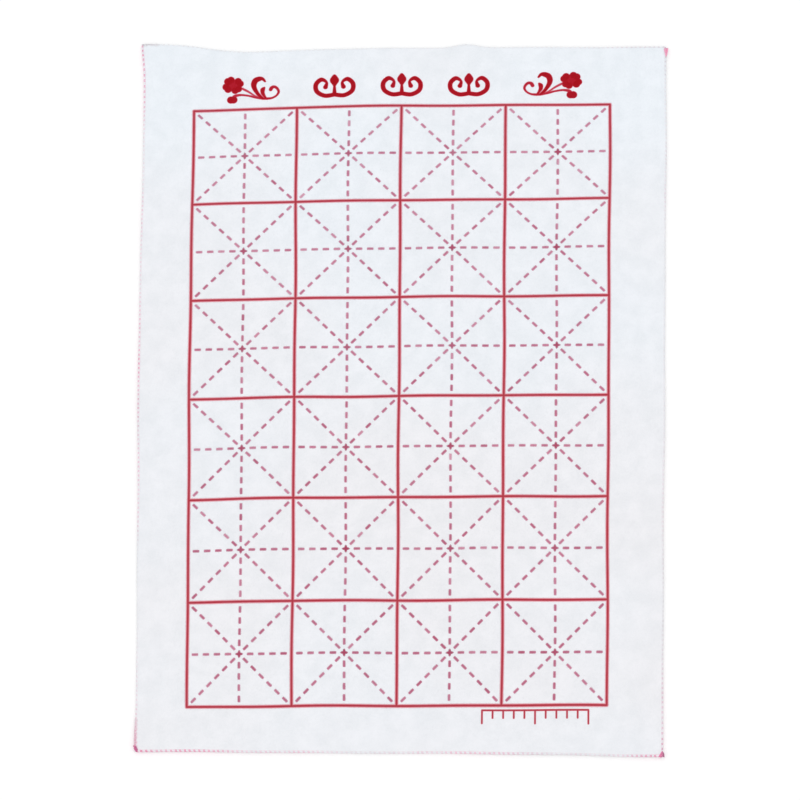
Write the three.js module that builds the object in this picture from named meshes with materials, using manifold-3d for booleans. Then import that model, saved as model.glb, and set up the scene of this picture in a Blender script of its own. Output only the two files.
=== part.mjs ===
// Calligraphy felt mat: white felt with overlocked edges and a red practice grid printed on its face.
// Millimetres, +Z up. X runs across the mat, +Y towards the heading, and the underside lies at Z = 0.

import * as THREE from 'three';
import { mergeVertices } from 'three/addons/utils/BufferGeometryUtils.js';
import Module from 'manifold-3d';

const wasm = await Module();
wasm.setup();

// Felt sheet, measured over the thread at its edges
const MAT_WIDTH = 500;
const MAT_LENGTH = 700;
const FELT_THICKNESS = 3;

// Overlocked edge: how far the thread reaches in from the edge, and how thick it lies on the felt
const SEAM_REACH = 3;
const THREAD_LAYER = 0.4;

// Practice grid: rows of square cells, with margins from the mat's edge to the middle of the outer lines
const COLUMNS = 4;
const LEFT_MARGIN = 49;
const RIGHT_MARGIN = 54.8;
const FOOT_MARGIN = 44.4;
const LINE_WIDTH = 2.4;
const INK_THICKNESS = 0.2;

// Guide star inside each cell: four straight and four diagonal arms that stop short of the lines
const ARM_WIDTH = 1.7;
const STRAIGHT_ARM_GAP = 2.8;
const DIAGONAL_ARM_GAP = 3.5;

// Heading above the grid's top line: a row of cloud scrolls
const CLOUD_COUNT = 3;
const CLOUD_STROKE = 4.2;
const CLOUD_SPACING = 23.8;
const HEADING_GAP = 8.5;

// Blossom sprays at both ends of the heading, the right one printed a little wider
const SPRAY_SPACING = 31.9;
const SPRAY_GAP = 5.8;
const RIGHT_SPRAY_STRETCH = 1.016;
const PETAL_COUNT = 4;
const FIRST_PETAL_TURN = 32;
const LOBE_TURN = 15;
const LOBE_RADIUS = 3.5;
const FLOWER_HALF_WIDTH = 10.3;
const FLOWER_HALF_HEIGHT = 9;
const FLOWER_EYE_RADIUS = 6.4;
const BUD_RADIUS = 3.7;
const BUD_STRETCH = 2.5;

// Plain measuring scale under the grid's bottom line
const SCALE_STEPS = 10;
const SCALE_STEP = 10;
const SCALE_LINE_WIDTH = 1.6;
const SCALE_LONG_TICK = 12;
const SCALE_SHORT_TICK = 7;
const SCALE_LONG_EVERY = 5;
const SCALE_GAP = 2.5;
const SCALE_RIGHT_INSET = 16.4;

// Sewn-off thread ends: their corner, size, turn in degrees, and the bare seam left outside them in X and Y
const THREAD_ENDS = [
  { name: 'top_left', side: [-1, 1], length: 2.6, width: 2.2, height: 0.8, turn: 0, bare: [0.3, 0.4] },
  { name: 'top_right', side: [1, 1], length: 9.5, width: 2.6, height: 1.2, turn: 90, bare: [0.4, 2.2] },
  { name: 'bottom_left', side: [-1, -1], length: 5.5, width: 2.6, height: 1.4, turn: -60, bare: [0.4, 1.3] },
  { name: 'bottom_right', side: [1, -1], length: 5.2, width: 4.6, height: 1.4, turn: 30, bare: [0.4, 0.5] },
];

// Steps along one span of a stroke, and round an arc
const STROKE_STEPS = 5;
const ARC_STEPS = 20;
const CAP_STEPS = 4;

const FELT_FINISH = { color: 0xecf0f4, roughness: 0.95, metalness: 0 };
const THREAD_FINISH = { color: 0xe3b9cf, roughness: 0.7, metalness: 0 };
const THREAD_END_FINISH = { color: 0xd0669c, roughness: 0.65, metalness: 0 };
const INK_FINISH = { color: 0xb8182f, roughness: 0.8, metalness: 0 };

const mat = new THREE.Group();

function addPiece(name, geometry, finish) {
  const mesh = new THREE.Mesh(geometry, new THREE.MeshStandardMaterial(finish));
  mesh.name = name;
  mat.add(mesh);
  return mesh;
}

// A closed geometry as a solid that can be joined, and a joined solid as a geometry
function toSolid(geometry) {
  const bare = geometry.clone();
  bare.deleteAttribute('normal');
  bare.deleteAttribute('uv');
  const merged = mergeVertices(bare);
  const vertProperties = new Float32Array(merged.attributes.position.array);
  const triVerts = new Uint32Array(merged.index.array);
  return new wasm.Manifold(new wasm.Mesh({ numProp: 3, vertProperties, triVerts }));
}

function toGeometry(solid) {
  const { vertProperties, triVerts } = solid.getMesh();
  const geometry = new THREE.BufferGeometry();
  geometry.setAttribute('position', new THREE.BufferAttribute(vertProperties, 3));
  geometry.setIndex(new THREE.BufferAttribute(triVerts, 1));
  geometry.computeVertexNormals();
  return geometry;
}

function joined(geometries) {
  const [first, ...others] = geometries.map(toSolid);
  return toGeometry(others.reduce((whole, solid) => whole.add(solid), first));
}

function boxOf(geometry) {
  geometry.computeBoundingBox();
  return geometry.boundingBox;
}

// Felt: the full thickness inside the seam, and a thinner tongue that the thread wraps at the edges
function feltSheet() {
  const core = new THREE.BoxGeometry(MAT_WIDTH - 2 * SEAM_REACH, MAT_LENGTH - 2 * SEAM_REACH, FELT_THICKNESS);
  const tongue = new THREE.BoxGeometry(
    MAT_WIDTH - 2 * THREAD_LAYER,
    MAT_LENGTH - 2 * THREAD_LAYER,
    FELT_THICKNESS - 2 * THREAD_LAYER,
  );
  core.translate(0, 0, FELT_THICKNESS / 2);
  tongue.translate(0, 0, FELT_THICKNESS / 2);
  return joined([core, tongue]);
}

// Seam along one edge: a channel section that wraps the tongue, with its ends mitred into the next seams
function seamBand(length, edgeDistance) {
  const section = new THREE.Shape([
    new THREE.Vector2(0, 0),
    new THREE.Vector2(SEAM_REACH, 0),
    new THREE.Vector2(SEAM_REACH, THREAD_LAYER),
    new THREE.Vector2(THREAD_LAYER, THREAD_LAYER),
    new THREE.Vector2(THREAD_LAYER, FELT_THICKNESS - THREAD_LAYER),
    new THREE.Vector2(SEAM_REACH, FELT_THICKNESS - THREAD_LAYER),
    new THREE.Vector2(SEAM_REACH, FELT_THICKNESS),
    new THREE.Vector2(0, FELT_THICKNESS),
  ]);
  const geometry = new THREE.ExtrudeGeometry(section, { depth: 1, bevelEnabled: false });
  const point = geometry.attributes.position;
  for (let i = 0; i < point.count; i += 1) {
    const inset = point.getX(i);
    const end = 1 - 2 * point.getZ(i);
    point.setXYZ(i, end * (length / 2 - inset), edgeDistance - inset, point.getY(i));
  }
  return geometry;
}

// Thread end: a low oval mound that lies on the seam
function threadMound({ length, width, height, turn }) {
  const profile = [new THREE.Vector2(0, 0)];
  for (let i = 0; i <= CAP_STEPS; i += 1) {
    const angle = (i / CAP_STEPS) * (Math.PI / 2);
    profile.push(new THREE.Vector2(i === CAP_STEPS ? 0 : Math.cos(angle), Math.sin(angle)));
  }
  const geometry = new THREE.LatheGeometry(profile, ARC_STEPS);
  geometry.rotateX(Math.PI / 2);
  geometry.scale(length / 2, width / 2, height);
  return geometry.rotateZ(THREE.MathUtils.degToRad(turn));
}

// A flat outline as a film of ink lying on the felt
function inkFilm(outline) {
  const geometry = new THREE.ExtrudeGeometry(outline, { depth: INK_THICKNESS, bevelEnabled: false });
  return geometry.translate(0, 0, FELT_THICKNESS);
}

// A brush stroke: a smooth path with a width at each of its points and round ends
function strokeOutline(path, widths) {
  const curve = new THREE.SplineCurve(path.map(([x, y]) => new THREE.Vector2(x, y)));
  const spans = path.length - 1;
  const count = spans * STROKE_STEPS;
  const left = [];
  const right = [];
  for (let i = 0; i <= count; i += 1) {
    const along = i / count;
    const span = Math.min(Math.floor(along * spans), spans - 1);
    const half = THREE.MathUtils.lerp(widths[span], widths[span + 1], along * spans - span) / 2;
    const middle = curve.getPoint(along);
    const heading = curve.getTangent(along);
    const side = new THREE.Vector2(-heading.y, heading.x).multiplyScalar(half);
    left.push(middle.clone().add(side));
    right.push(middle.clone().sub(side));
  }
  const cap = (from, to) => {
    const middle = from.clone().add(to).multiplyScalar(0.5);
    const arm = from.clone().sub(middle);
    const inner = [];
    for (let i = 1; i < CAP_STEPS; i += 1) {
      const turned = arm.clone().rotateAround(new THREE.Vector2(), (-Math.PI * i) / CAP_STEPS);
      inner.push(turned.add(middle));
    }
    return inner;
  };
  const farCap = cap(left[count], right[count]);
  const nearCap = cap(right[0], left[0]);
  return new THREE.Shape([...left, ...farCap, ...right.reverse(), ...nearCap]);
}

function discOutline(x, y, radius) {
  const points = [];
  for (let i = 0; i < ARC_STEPS; i += 1) {
    const angle = (2 * Math.PI * i) / ARC_STEPS;
    points.push(new THREE.Vector2(x + radius * Math.cos(angle), y + radius * Math.sin(angle)));
  }
  return new THREE.Shape(points);
}

// Cloud scroll: two volutes that curl in from a common foot, with a bud between them
function cloudScroll() {
  const volute = [[0, -9], [9, -10], [16.5, -5.5], [17.5, 2], [12.5, 7], [7.5, 4], [8.5, -1]];
  const mirrored = volute.map(([x, y]) => [-x, y]);
  const bold = CLOUD_STROKE;
  const fine = CLOUD_STROKE / 2;
  const widths = [bold, bold, bold, bold, bold, fine, bold];
  const stem = [[0, -9], [0, 0], [0, 6], [0, 11]];
  const stemWidths = [bold, fine, 2 * bold, fine];
  const outlines = [
    strokeOutline(volute, widths),
    strokeOutline(mirrored, widths),
    strokeOutline(stem, stemWidths),
  ];
  return joined(outlines.map(inkFilm));
}

// Blossom spray: a flower and a bud on thin stems, with two leaves and a curling tendril. Places across are
// multiplied by stretch, which is below 0 for a mirrored spray.
function blossomSpray(stretch) {
  const flower = [-16.8, 5.3];
  const bud = [-17.2, -9.9];
  const bough = [12.6, -9.5];
  const outlines = [];
  const disc = ([x, y], radius) => outlines.push(discOutline(stretch * x, y, radius));
  const stroke = (path, widths) => {
    const placed = path.map(([x, y]) => [stretch * x, y]);
    outlines.push(strokeOutline(placed, widths));
  };
  disc(flower, FLOWER_EYE_RADIUS);
  for (let petal = 0; petal < PETAL_COUNT; petal += 1) {
    for (const lobe of [-LOBE_TURN, LOBE_TURN]) {
      const angle = THREE.MathUtils.degToRad(FIRST_PETAL_TURN + (360 * petal) / PETAL_COUNT + lobe);
      const x = flower[0] + (FLOWER_HALF_WIDTH - LOBE_RADIUS) * Math.cos(angle);
      const y = flower[1] + (FLOWER_HALF_HEIGHT - LOBE_RADIUS) * Math.sin(angle);
      disc([x, y], LOBE_RADIUS);
    }
  }
  for (const end of [-BUD_STRETCH / 2, BUD_STRETCH / 2]) {
    disc([bud[0] + end, bud[1]], BUD_RADIUS);
  }
  const budStem = [[-16.6, -8.4], [-14.2, -5.9], [-8.6, -4.9], [-1, -6.1], [5.2, -7.9], bough];
  stroke(budStem, [3.2, 3.2, 2.1, 1.8, 2.2, 2.6]);
  const flowerStem = [[-9.3, 2.9], [-5.2, 0.6], [-0.8, -2.1], [2.9, -4.9], [6.7, -7.5], bough];
  stroke(flowerStem, [1.8, 2.2, 1.9, 1.6, 1.8, 2]);
  const crescentHead = [[14.6, 8.6], [12, 11.4], [8.7, 11.4], [5.3, 9.7], [3.8, 6]];
  const crescent = [...crescentHead, [4.3, 2.2], [6.3, -2], [9, -5.9], bough];
  stroke(crescent, [1.6, 3, 4.8, 5.6, 5.3, 4.4, 3.6, 3, 2.2]);
  const leaf = [[14, 2.1], [12.4, -0.1], [12.3, -3.1], [13.7, -6.4], [15.6, -9.4]];
  stroke(leaf, [1.4, 4.3, 3.7, 2.5, 1.8]);
  const curlTip = [[24.4, 2.1], [22, 2.3], [20.4, 1.2], [19.5, -0.5]];
  const curl = [bough, [16.9, -9.7], [21.6, -9.1], [25.6, -6.7], [27.6, -3.3], [26.8, -0.1], ...curlTip];
  stroke(curl, [2.4, 2.4, 1.9, 1.8, 2.2, 2.4, 2.6, 2.9, 3.4, 3.4]);
  return joined(outlines.map(inkFilm));
}

// Measuring scale: a base line with ticks hanging from it, every few of them long
function measuringScale() {
  const half = SCALE_LINE_WIDTH / 2;
  const points = [new THREE.Vector2(-half, SCALE_LINE_WIDTH)];
  for (let tick = 0; tick <= SCALE_STEPS; tick += 1) {
    const middle = tick * SCALE_STEP;
    const depth = tick % SCALE_LONG_EVERY === 0 ? SCALE_LONG_TICK : SCALE_SHORT_TICK;
    if (tick > 0) {
      points.push(new THREE.Vector2(middle - half, 0));
    }
    points.push(new THREE.Vector2(middle - half, -depth), new THREE.Vector2(middle + half, -depth));
    if (tick < SCALE_STEPS) {
      points.push(new THREE.Vector2(middle + half, 0));
    }
  }
  points.push(new THREE.Vector2(SCALE_STEPS * SCALE_STEP + half, SCALE_LINE_WIDTH));
  return inkFilm(new THREE.Shape(points));
}

// The grid fills the width between its margins, and takes as many rows as leave room for the heading
const clouds = Array.from({ length: CLOUD_COUNT }, cloudScroll);
const sprays = { left: blossomSpray(1), right: blossomSpray(-RIGHT_SPRAY_STRETCH) };
const cloudBox = boxOf(clouds[0]);
const leftSprayBox = boxOf(sprays.left);
const rightSprayBox = boxOf(sprays.right);
const CLOUD_WIDTH = cloudBox.max.x - cloudBox.min.x;
const CLOUD_HEIGHT = cloudBox.max.y - cloudBox.min.y;
const SPRAY_HEIGHT = leftSprayBox.max.y - leftSprayBox.min.y;
const HEADING_HEIGHT = Math.max(HEADING_GAP + CLOUD_HEIGHT, SPRAY_GAP + SPRAY_HEIGHT);
const HEAD_ROOM = LINE_WIDTH / 2 + HEADING_HEIGHT + SEAM_REACH;
const CELL = (MAT_WIDTH - LEFT_MARGIN - RIGHT_MARGIN) / COLUMNS;
const ROWS = Math.floor((MAT_LENGTH - FOOT_MARGIN - HEAD_ROOM) / CELL);
const GRID_LEFT = LEFT_MARGIN - MAT_WIDTH / 2;
const GRID_RIGHT = GRID_LEFT + COLUMNS * CELL;
const GRID_BOTTOM = FOOT_MARGIN - MAT_LENGTH / 2;
const GRID_TOP = GRID_BOTTOM + ROWS * CELL;
const GRID_MIDDLE = (GRID_LEFT + GRID_RIGHT) / 2;

// The cells of the grid, row by row from the top, with the middle of each
function gridCells() {
  const cells = [];
  for (let row = 0; row < ROWS; row += 1) {
    for (let column = 0; column < COLUMNS; column += 1) {
      const x = GRID_LEFT + (column + 0.5) * CELL;
      const y = GRID_TOP - (row + 0.5) * CELL;
      cells.push({ name: `row${row + 1}_column${column + 1}`, x, y });
    }
  }
  return cells;
}

// All the solid lines of the grid as one lattice: a film with each cell's square cut out
function gridLattice() {
  const middleHeight = FELT_THICKNESS + INK_THICKNESS / 2;
  const frame = new THREE.BoxGeometry(
    GRID_RIGHT - GRID_LEFT + LINE_WIDTH,
    GRID_TOP - GRID_BOTTOM + LINE_WIDTH,
    INK_THICKNESS,
  );
  frame.translate(GRID_MIDDLE, (GRID_BOTTOM + GRID_TOP) / 2, middleHeight);
  let lattice = toSolid(frame);
  for (const { x, y } of gridCells()) {
    const square = new THREE.BoxGeometry(CELL - LINE_WIDTH, CELL - LINE_WIDTH, 2 * INK_THICKNESS);
    lattice = lattice.subtract(toSolid(square.translate(x, y, middleHeight)));
  }
  return toGeometry(lattice);
}

// Eight arms about the middle of a cell, straight and diagonal in turn
function guideStar() {
  const armCount = 8;
  const step = (2 * Math.PI) / armCount;
  const straight = CELL / 2 - LINE_WIDTH / 2 - STRAIGHT_ARM_GAP;
  const diagonal = (CELL / 2 - LINE_WIDTH / 2) * Math.SQRT2 - DIAGONAL_ARM_GAP;
  const crotch = ARM_WIDTH / 2 / Math.sin(step / 2);
  const points = [];
  for (let arm = 0; arm < armCount; arm += 1) {
    const angle = arm * step;
    const reach = arm % 2 === 0 ? straight : diagonal;
    const along = new THREE.Vector2(Math.cos(angle), Math.sin(angle)).multiplyScalar(reach);
    const side = new THREE.Vector2(-Math.sin(angle), Math.cos(angle)).multiplyScalar(ARM_WIDTH / 2);
    points.push(along.clone().sub(side), along.clone().add(side));
    const between = angle + step / 2;
    points.push(new THREE.Vector2(Math.cos(between), Math.sin(between)).multiplyScalar(crotch));
  }
  return inkFilm(new THREE.Shape(points));
}

addPiece('felt_sheet', feltSheet(), FELT_FINISH);

const SEAM_SIDES = ['top', 'left', 'bottom', 'right'];
SEAM_SIDES.forEach((side, turn) => {
  const across = turn % 2 === 0;
  const length = across ? MAT_WIDTH : MAT_LENGTH;
  const edgeDistance = (across ? MAT_LENGTH : MAT_WIDTH) / 2;
  const band = addPiece(`overlock_seam_${side}`, seamBand(length, edgeDistance), THREAD_FINISH);
  band.rotation.z = (turn * Math.PI) / 2;
});

for (const end of THREAD_ENDS) {
  const geometry = threadMound(end);
  const { max } = boxOf(geometry);
  const [sideX, sideY] = end.side;
  const [bareX, bareY] = end.bare;
  const mound = addPiece(`thread_end_${end.name}`, geometry, THREAD_END_FINISH);
  mound.position.set(
    sideX * (MAT_WIDTH / 2 - bareX - max.x),
    sideY * (MAT_LENGTH / 2 - bareY - max.y),
    FELT_THICKNESS,
  );
}

addPiece('ink_grid_lines', gridLattice(), INK_FINISH);

for (const { name, x, y } of gridCells()) {
  const star = addPiece(`guide_star_${name}`, guideStar(), INK_FINISH);
  star.position.set(x, y, 0);
}

const HEADING_BASE = GRID_TOP + LINE_WIDTH / 2;
clouds.forEach((geometry, index) => {
  const cloud = addPiece(`heading_cloud_${index + 1}`, geometry, INK_FINISH);
  const stepsFromMiddle = index - (CLOUD_COUNT - 1) / 2;
  cloud.position.x = GRID_MIDDLE + stepsFromMiddle * (CLOUD_WIDTH + CLOUD_SPACING);
  cloud.position.y = HEADING_BASE + HEADING_GAP - cloudBox.min.y;
});

const CLOUD_ROW_WIDTH = CLOUD_COUNT * CLOUD_WIDTH + (CLOUD_COUNT - 1) * CLOUD_SPACING;
const SPRAY_OFFSET = CLOUD_ROW_WIDTH / 2 + SPRAY_SPACING;
const sprayY = HEADING_BASE + SPRAY_GAP - leftSprayBox.min.y;
const leftSpray = addPiece('blossom_spray_left', sprays.left, INK_FINISH);
leftSpray.position.set(GRID_MIDDLE - SPRAY_OFFSET - leftSprayBox.max.x, sprayY, 0);
const rightSpray = addPiece('blossom_spray_right', sprays.right, INK_FINISH);
rightSpray.position.set(GRID_MIDDLE + SPRAY_OFFSET - rightSprayBox.min.x, sprayY, 0);

const scaleGeometry = measuringScale();
const scaleBox = boxOf(scaleGeometry);
const scale = addPiece('measuring_scale', scaleGeometry, INK_FINISH);
scale.position.x = GRID_RIGHT - SCALE_RIGHT_INSET - scaleBox.max.x;
scale.position.y = GRID_BOTTOM - LINE_WIDTH / 2 - SCALE_GAP - scaleBox.max.y;

export default mat;
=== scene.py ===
"""Calligraphy felt mat: white needle felt, overlocked edges and a red printed practice grid.

Metres, +Z up. X runs across the mat, +Y towards the heading. Every piece is first worked out on the flat
mat and is then laid by FeltLie, so that felt, seam and print lie together as one limp sheet.
"""
import logging
from dataclasses import dataclass, field
from enum import Enum
from typing import Any

import bpy
import numpy as np
from mathutils import Matrix, Vector


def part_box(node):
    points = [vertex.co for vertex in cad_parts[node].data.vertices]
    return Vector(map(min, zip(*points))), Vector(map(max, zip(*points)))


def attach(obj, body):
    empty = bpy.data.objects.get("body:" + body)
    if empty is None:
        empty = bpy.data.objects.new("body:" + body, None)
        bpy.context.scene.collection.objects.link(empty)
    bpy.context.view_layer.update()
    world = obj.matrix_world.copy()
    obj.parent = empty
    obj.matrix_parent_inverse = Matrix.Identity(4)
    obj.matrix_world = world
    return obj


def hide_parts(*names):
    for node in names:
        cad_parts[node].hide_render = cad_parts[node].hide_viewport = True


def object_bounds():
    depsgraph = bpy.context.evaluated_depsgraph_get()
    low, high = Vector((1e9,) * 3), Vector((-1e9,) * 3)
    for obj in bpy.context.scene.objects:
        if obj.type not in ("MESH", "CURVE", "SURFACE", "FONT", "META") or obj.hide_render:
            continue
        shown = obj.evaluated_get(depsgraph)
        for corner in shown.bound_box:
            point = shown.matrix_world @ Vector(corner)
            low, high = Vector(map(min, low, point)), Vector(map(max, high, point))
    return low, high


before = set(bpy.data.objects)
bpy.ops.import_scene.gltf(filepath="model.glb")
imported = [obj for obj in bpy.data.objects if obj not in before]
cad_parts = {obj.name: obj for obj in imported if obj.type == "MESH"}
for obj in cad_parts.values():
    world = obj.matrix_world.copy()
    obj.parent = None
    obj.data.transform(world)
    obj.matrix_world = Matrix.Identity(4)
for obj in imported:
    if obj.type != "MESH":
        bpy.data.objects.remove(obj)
CAD_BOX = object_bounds()

MM = 0.001
LOG = logging.getLogger("felt_mat")
UPWARD = np.array([0.0, 0.0, 1.0])
WHITE = (1.0, 1.0, 1.0, 1.0)

Array = np.ndarray
Colour = tuple[float, ...]
Numbers = tuple[float, ...]
Span = tuple[float, float]


def linear(red: int, green: int, blue: int) -> Colour:
    """A colour as it is seen, in steps of 0 to 255, as the linear light that shaders take, by the sRGB curve.

    Args:
        red: Red, 0 to 255.
        green: Green, 0 to 255.
        blue: Blue, 0 to 255.

    Returns:
        Linear red, green, blue and an alpha of 1.
    """
    seen = np.array([red, green, blue]) / 255.0
    light = np.where(seen <= 0.04045, seen / 12.92, ((seen + 0.055) / 1.055) ** 2.4)
    return (*light.tolist(), 1.0)


def smooth_step(low: float, high: float, at: Array) -> Array:
    """A rise from 0 at low to 1 at high that starts and ends level: 3t^2 - 2t^3."""
    t = np.clip((at - low) / (high - low), 0.0, 1.0)
    return t * t * (3.0 - 2.0 * t)


def bell(middle: float, reach: float, at: Array) -> Array:
    """A swell of 1 round a middle: e to the power of minus the square of (at - middle) / reach."""
    return np.exp(-(((at - middle) / reach) ** 2))


def unit(vectors: Array) -> Array:
    """Each vector of the last axis, divided by its length."""
    return vectors / np.linalg.norm(vectors, axis=-1, keepdims=True)


def net_cells(index: Array) -> Array:
    """The cells of a net of numbered points, four numbers to a cell, as rows by columns by 4."""
    return np.stack([index[:-1, :-1], index[:-1, 1:], index[1:, 1:], index[1:, :-1]], axis=-1)


class Edge(Enum):
    """The mat's edges: the way that the seam runs, and the way from the edge into the mat."""

    TOP = ((1.0, 0.0), (0.0, -1.0))
    LEFT = ((0.0, 1.0), (1.0, 0.0))
    BOTTOM = ((1.0, 0.0), (0.0, 1.0))
    RIGHT = ((0.0, 1.0), (-1.0, 0.0))


class Corner(Enum):
    """The mat's corners, as signs of X and Y."""

    TOP_LEFT = (-1.0, 1.0)
    TOP_RIGHT = (1.0, 1.0)
    BOTTOM_LEFT = (-1.0, -1.0)
    BOTTOM_RIGHT = (1.0, -1.0)


@dataclass(frozen=True)
class Ripple:
    """A wave over the sheet: the sine of across * u + along * v + start."""

    across: float
    along: float
    start: float = 0.0

    def at(self, u: Array, v: Array) -> Array:
        """The wave at each place, -1 to 1."""
        return np.sin(self.across * u + self.along * v + self.start)


@dataclass(frozen=True)
class FeltLie:
    """How the limp sheet lies: a slight taper and lean, soft waves, strayed edges and a pulled corner.

    A place is u across the mat, -1 at the left edge and 1 at the right one, and v along it, -1 at the foot
    and 1 at the head. A span gives where a change starts and where it is full, counted from the middle
    towards the side that it is named for.
    """

    half_width: float
    half_length: float
    taper: float = 3.6 * MM
    row_rise: float = 6.5 * MM
    lean: float = 1.65 * MM
    head_lean: float = 1.0 * MM
    left_droop: float = 2.25 * MM
    left_droop_span: Span = (0.3, 0.95)
    head_droop: float = 0.7
    left_tuck: float = 1.85 * MM
    left_tuck_span: Span = (0.35, 0.95)
    left_tuck_at: float = 0.82
    left_tuck_reach: float = 0.25
    left_edge_in: float = 0.4 * MM
    left_edge_span: Span = (0.9, 1.0)
    left_foot_out: float = 1.2 * MM
    left_foot_span: Span = (0.86, 0.97)
    right_tuck: float = 1.4 * MM
    right_tuck_span: Span = (0.75, 1.0)
    right_foot_tuck: float = 0.35
    right_foot_span: Span = (-0.1, 0.4)
    corner_pull: float = 10.75 * MM
    corner_reach: Span = (72.0 * MM, 42.0 * MM)
    corner_out: float = 2.45 * MM
    corner_out_reach: float = 22.0 * MM
    head_tuck: float = 1.95 * MM
    head_tuck_across: Span = (0.0, 0.9)
    head_tuck_along: Span = (0.4, 0.95)
    head_dip: float = 0.8 * MM
    head_dip_at: float = -0.55
    head_dip_reach: float = 0.22
    head_dip_span: Span = (0.55, 1.0)
    head_sag: float = 0.5 * MM
    head_sag_span: Span = (0.45, 0.8)
    head_sag_end: Span = (1.0, 0.88)
    head_bulge: float = 3.8 * MM
    head_bulge_at: float = 0.235
    head_bulge_reach: float = 0.06
    head_bulge_span: Span = (0.93, 1.0)
    foot_span: Span = (0.86, 1.0)
    foot_tuck: float = 0.6 * MM
    foot_lift: float = 2.55 * MM
    foot_lift_span: Span = (0.15, 0.8)
    foot_sweep: float = 3.5 * MM
    foot_sweep_span: Span = (0.1, 1.0)
    side_wave: float = 0.55 * MM
    side_wave_rate: float = 4.0
    side_wave_span: Span = (0.6, 1.0)
    wobble: float = 0.45 * MM
    across_ripples: tuple[Ripple, Ripple] = (Ripple(2.2, 9.0), Ripple(-4.0, 15.0, 1.3))
    along_ripples: tuple[Ripple, Ripple] = (Ripple(8.0, 3.1), Ripple(13.0, -5.0, 0.7))
    wave_height: float = 0.7 * MM
    swells: tuple[Ripple, Ripple] = (Ripple(4.3, 1.7, 0.4), Ripple(-1.2, 5.1, 1.0))

    def from_corner(self, u: Array, v: Array, reach_x: float, reach_y: float) -> Array:
        """Distance from the top left corner, as a share of how far a pull on it reaches in X and in Y."""
        return np.hypot((u + 1.0) * self.half_width / reach_x, (v - 1.0) * self.half_length / reach_y)

    def across(self, u: Array, v: Array) -> Array:
        """Shift in X: the width grows by the taper from foot to head, the sides tuck in and lines wobble.

        Args:
            u: Place across the mat.
            v: Place along the mat.

        Returns:
            The shift at each place, in metres.
        """
        ripple = sum(part.at(u, v) for part in self.across_ripples)
        wave = self.side_wave * np.cos(self.side_wave_rate * v) * smooth_step(*self.side_wave_span, -u)
        reach = self.corner_out_reach
        corner = self.corner_out * np.exp(-self.from_corner(u, v, reach, reach) ** 2)
        near_tuck = bell(self.left_tuck_at, self.left_tuck_reach, v)
        tuck = self.left_tuck * smooth_step(*self.left_tuck_span, -u) * near_tuck
        more = 1.0 + self.right_foot_tuck * smooth_step(*self.right_foot_span, -v)
        tuck = tuck - self.right_tuck * smooth_step(*self.right_tuck_span, u) * more
        left_edge = self.left_edge_in - self.left_foot_out * smooth_step(*self.left_foot_span, -v)
        tuck = tuck + left_edge * smooth_step(*self.left_edge_span, -u)
        return self.taper * u * v + tuck - wave - corner + 0.5 * self.wobble * ripple

    def along(self, u: Array, v: Array) -> Array:
        """Shift in Y: rows ride up in the middle and lean, the left droops, and edges and a corner stray.

        Args:
            u: Place across the mat.
            v: Place along the mat.

        Returns:
            The shift at each place, in metres.
        """
        shift = self.row_rise * (1.0 - v * v) + self.lean * u + self.head_lean * u * v
        droop = self.left_droop * (1.0 + self.head_droop * v)
        shift = shift - droop * smooth_step(*self.left_droop_span, -u)
        right_head = smooth_step(*self.head_tuck_along, v)
        shift = shift - self.head_tuck * smooth_step(*self.head_tuck_across, u) * right_head
        shift = shift + self.corner_pull * np.exp(-self.from_corner(u, v, *self.corner_reach) ** 3)
        sag = self.head_sag * smooth_step(*self.head_sag_span, v)
        shift = shift - sag * smooth_step(*self.head_sag_end, v)
        dip = bell(self.head_dip_at, self.head_dip_reach, u) * smooth_step(*self.head_dip_span, v)
        bulge = bell(self.head_bulge_at, self.head_bulge_reach, u) * smooth_step(*self.head_bulge_span, v)
        shift = shift + self.head_bulge * bulge
        near_foot = smooth_step(*self.foot_span, -v)
        sweep = self.foot_tuck + self.foot_lift * smooth_step(*self.foot_lift_span, -u)
        sweep = sweep - self.foot_sweep * smooth_step(*self.foot_sweep_span, u)
        ripple = sum(part.at(u, v) for part in self.along_ripples)
        return shift - self.head_dip * dip + sweep * near_foot + 0.5 * self.wobble * ripple

    def lift(self, u: Array, v: Array) -> Array:
        """Height of the soft waves over the floor: two crossed swells, never below 0."""
        first, second = self.swells
        return 0.5 * self.wave_height * (1.0 + first.at(u, v) * second.at(u, v))

    def laid(self, flat: Array) -> Array:
        """Points of the flat mat where they are on the lying one.

        Args:
            flat: Points as rows of X, Y and height over the flat underside.

        Returns:
            The same points, shifted in X and Y and lifted by the waves.
        """
        u = flat[:, 0] / self.half_width
        v = flat[:, 1] / self.half_length
        return flat + np.column_stack([self.across(u, v), self.along(u, v), self.lift(u, v)])


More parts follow.
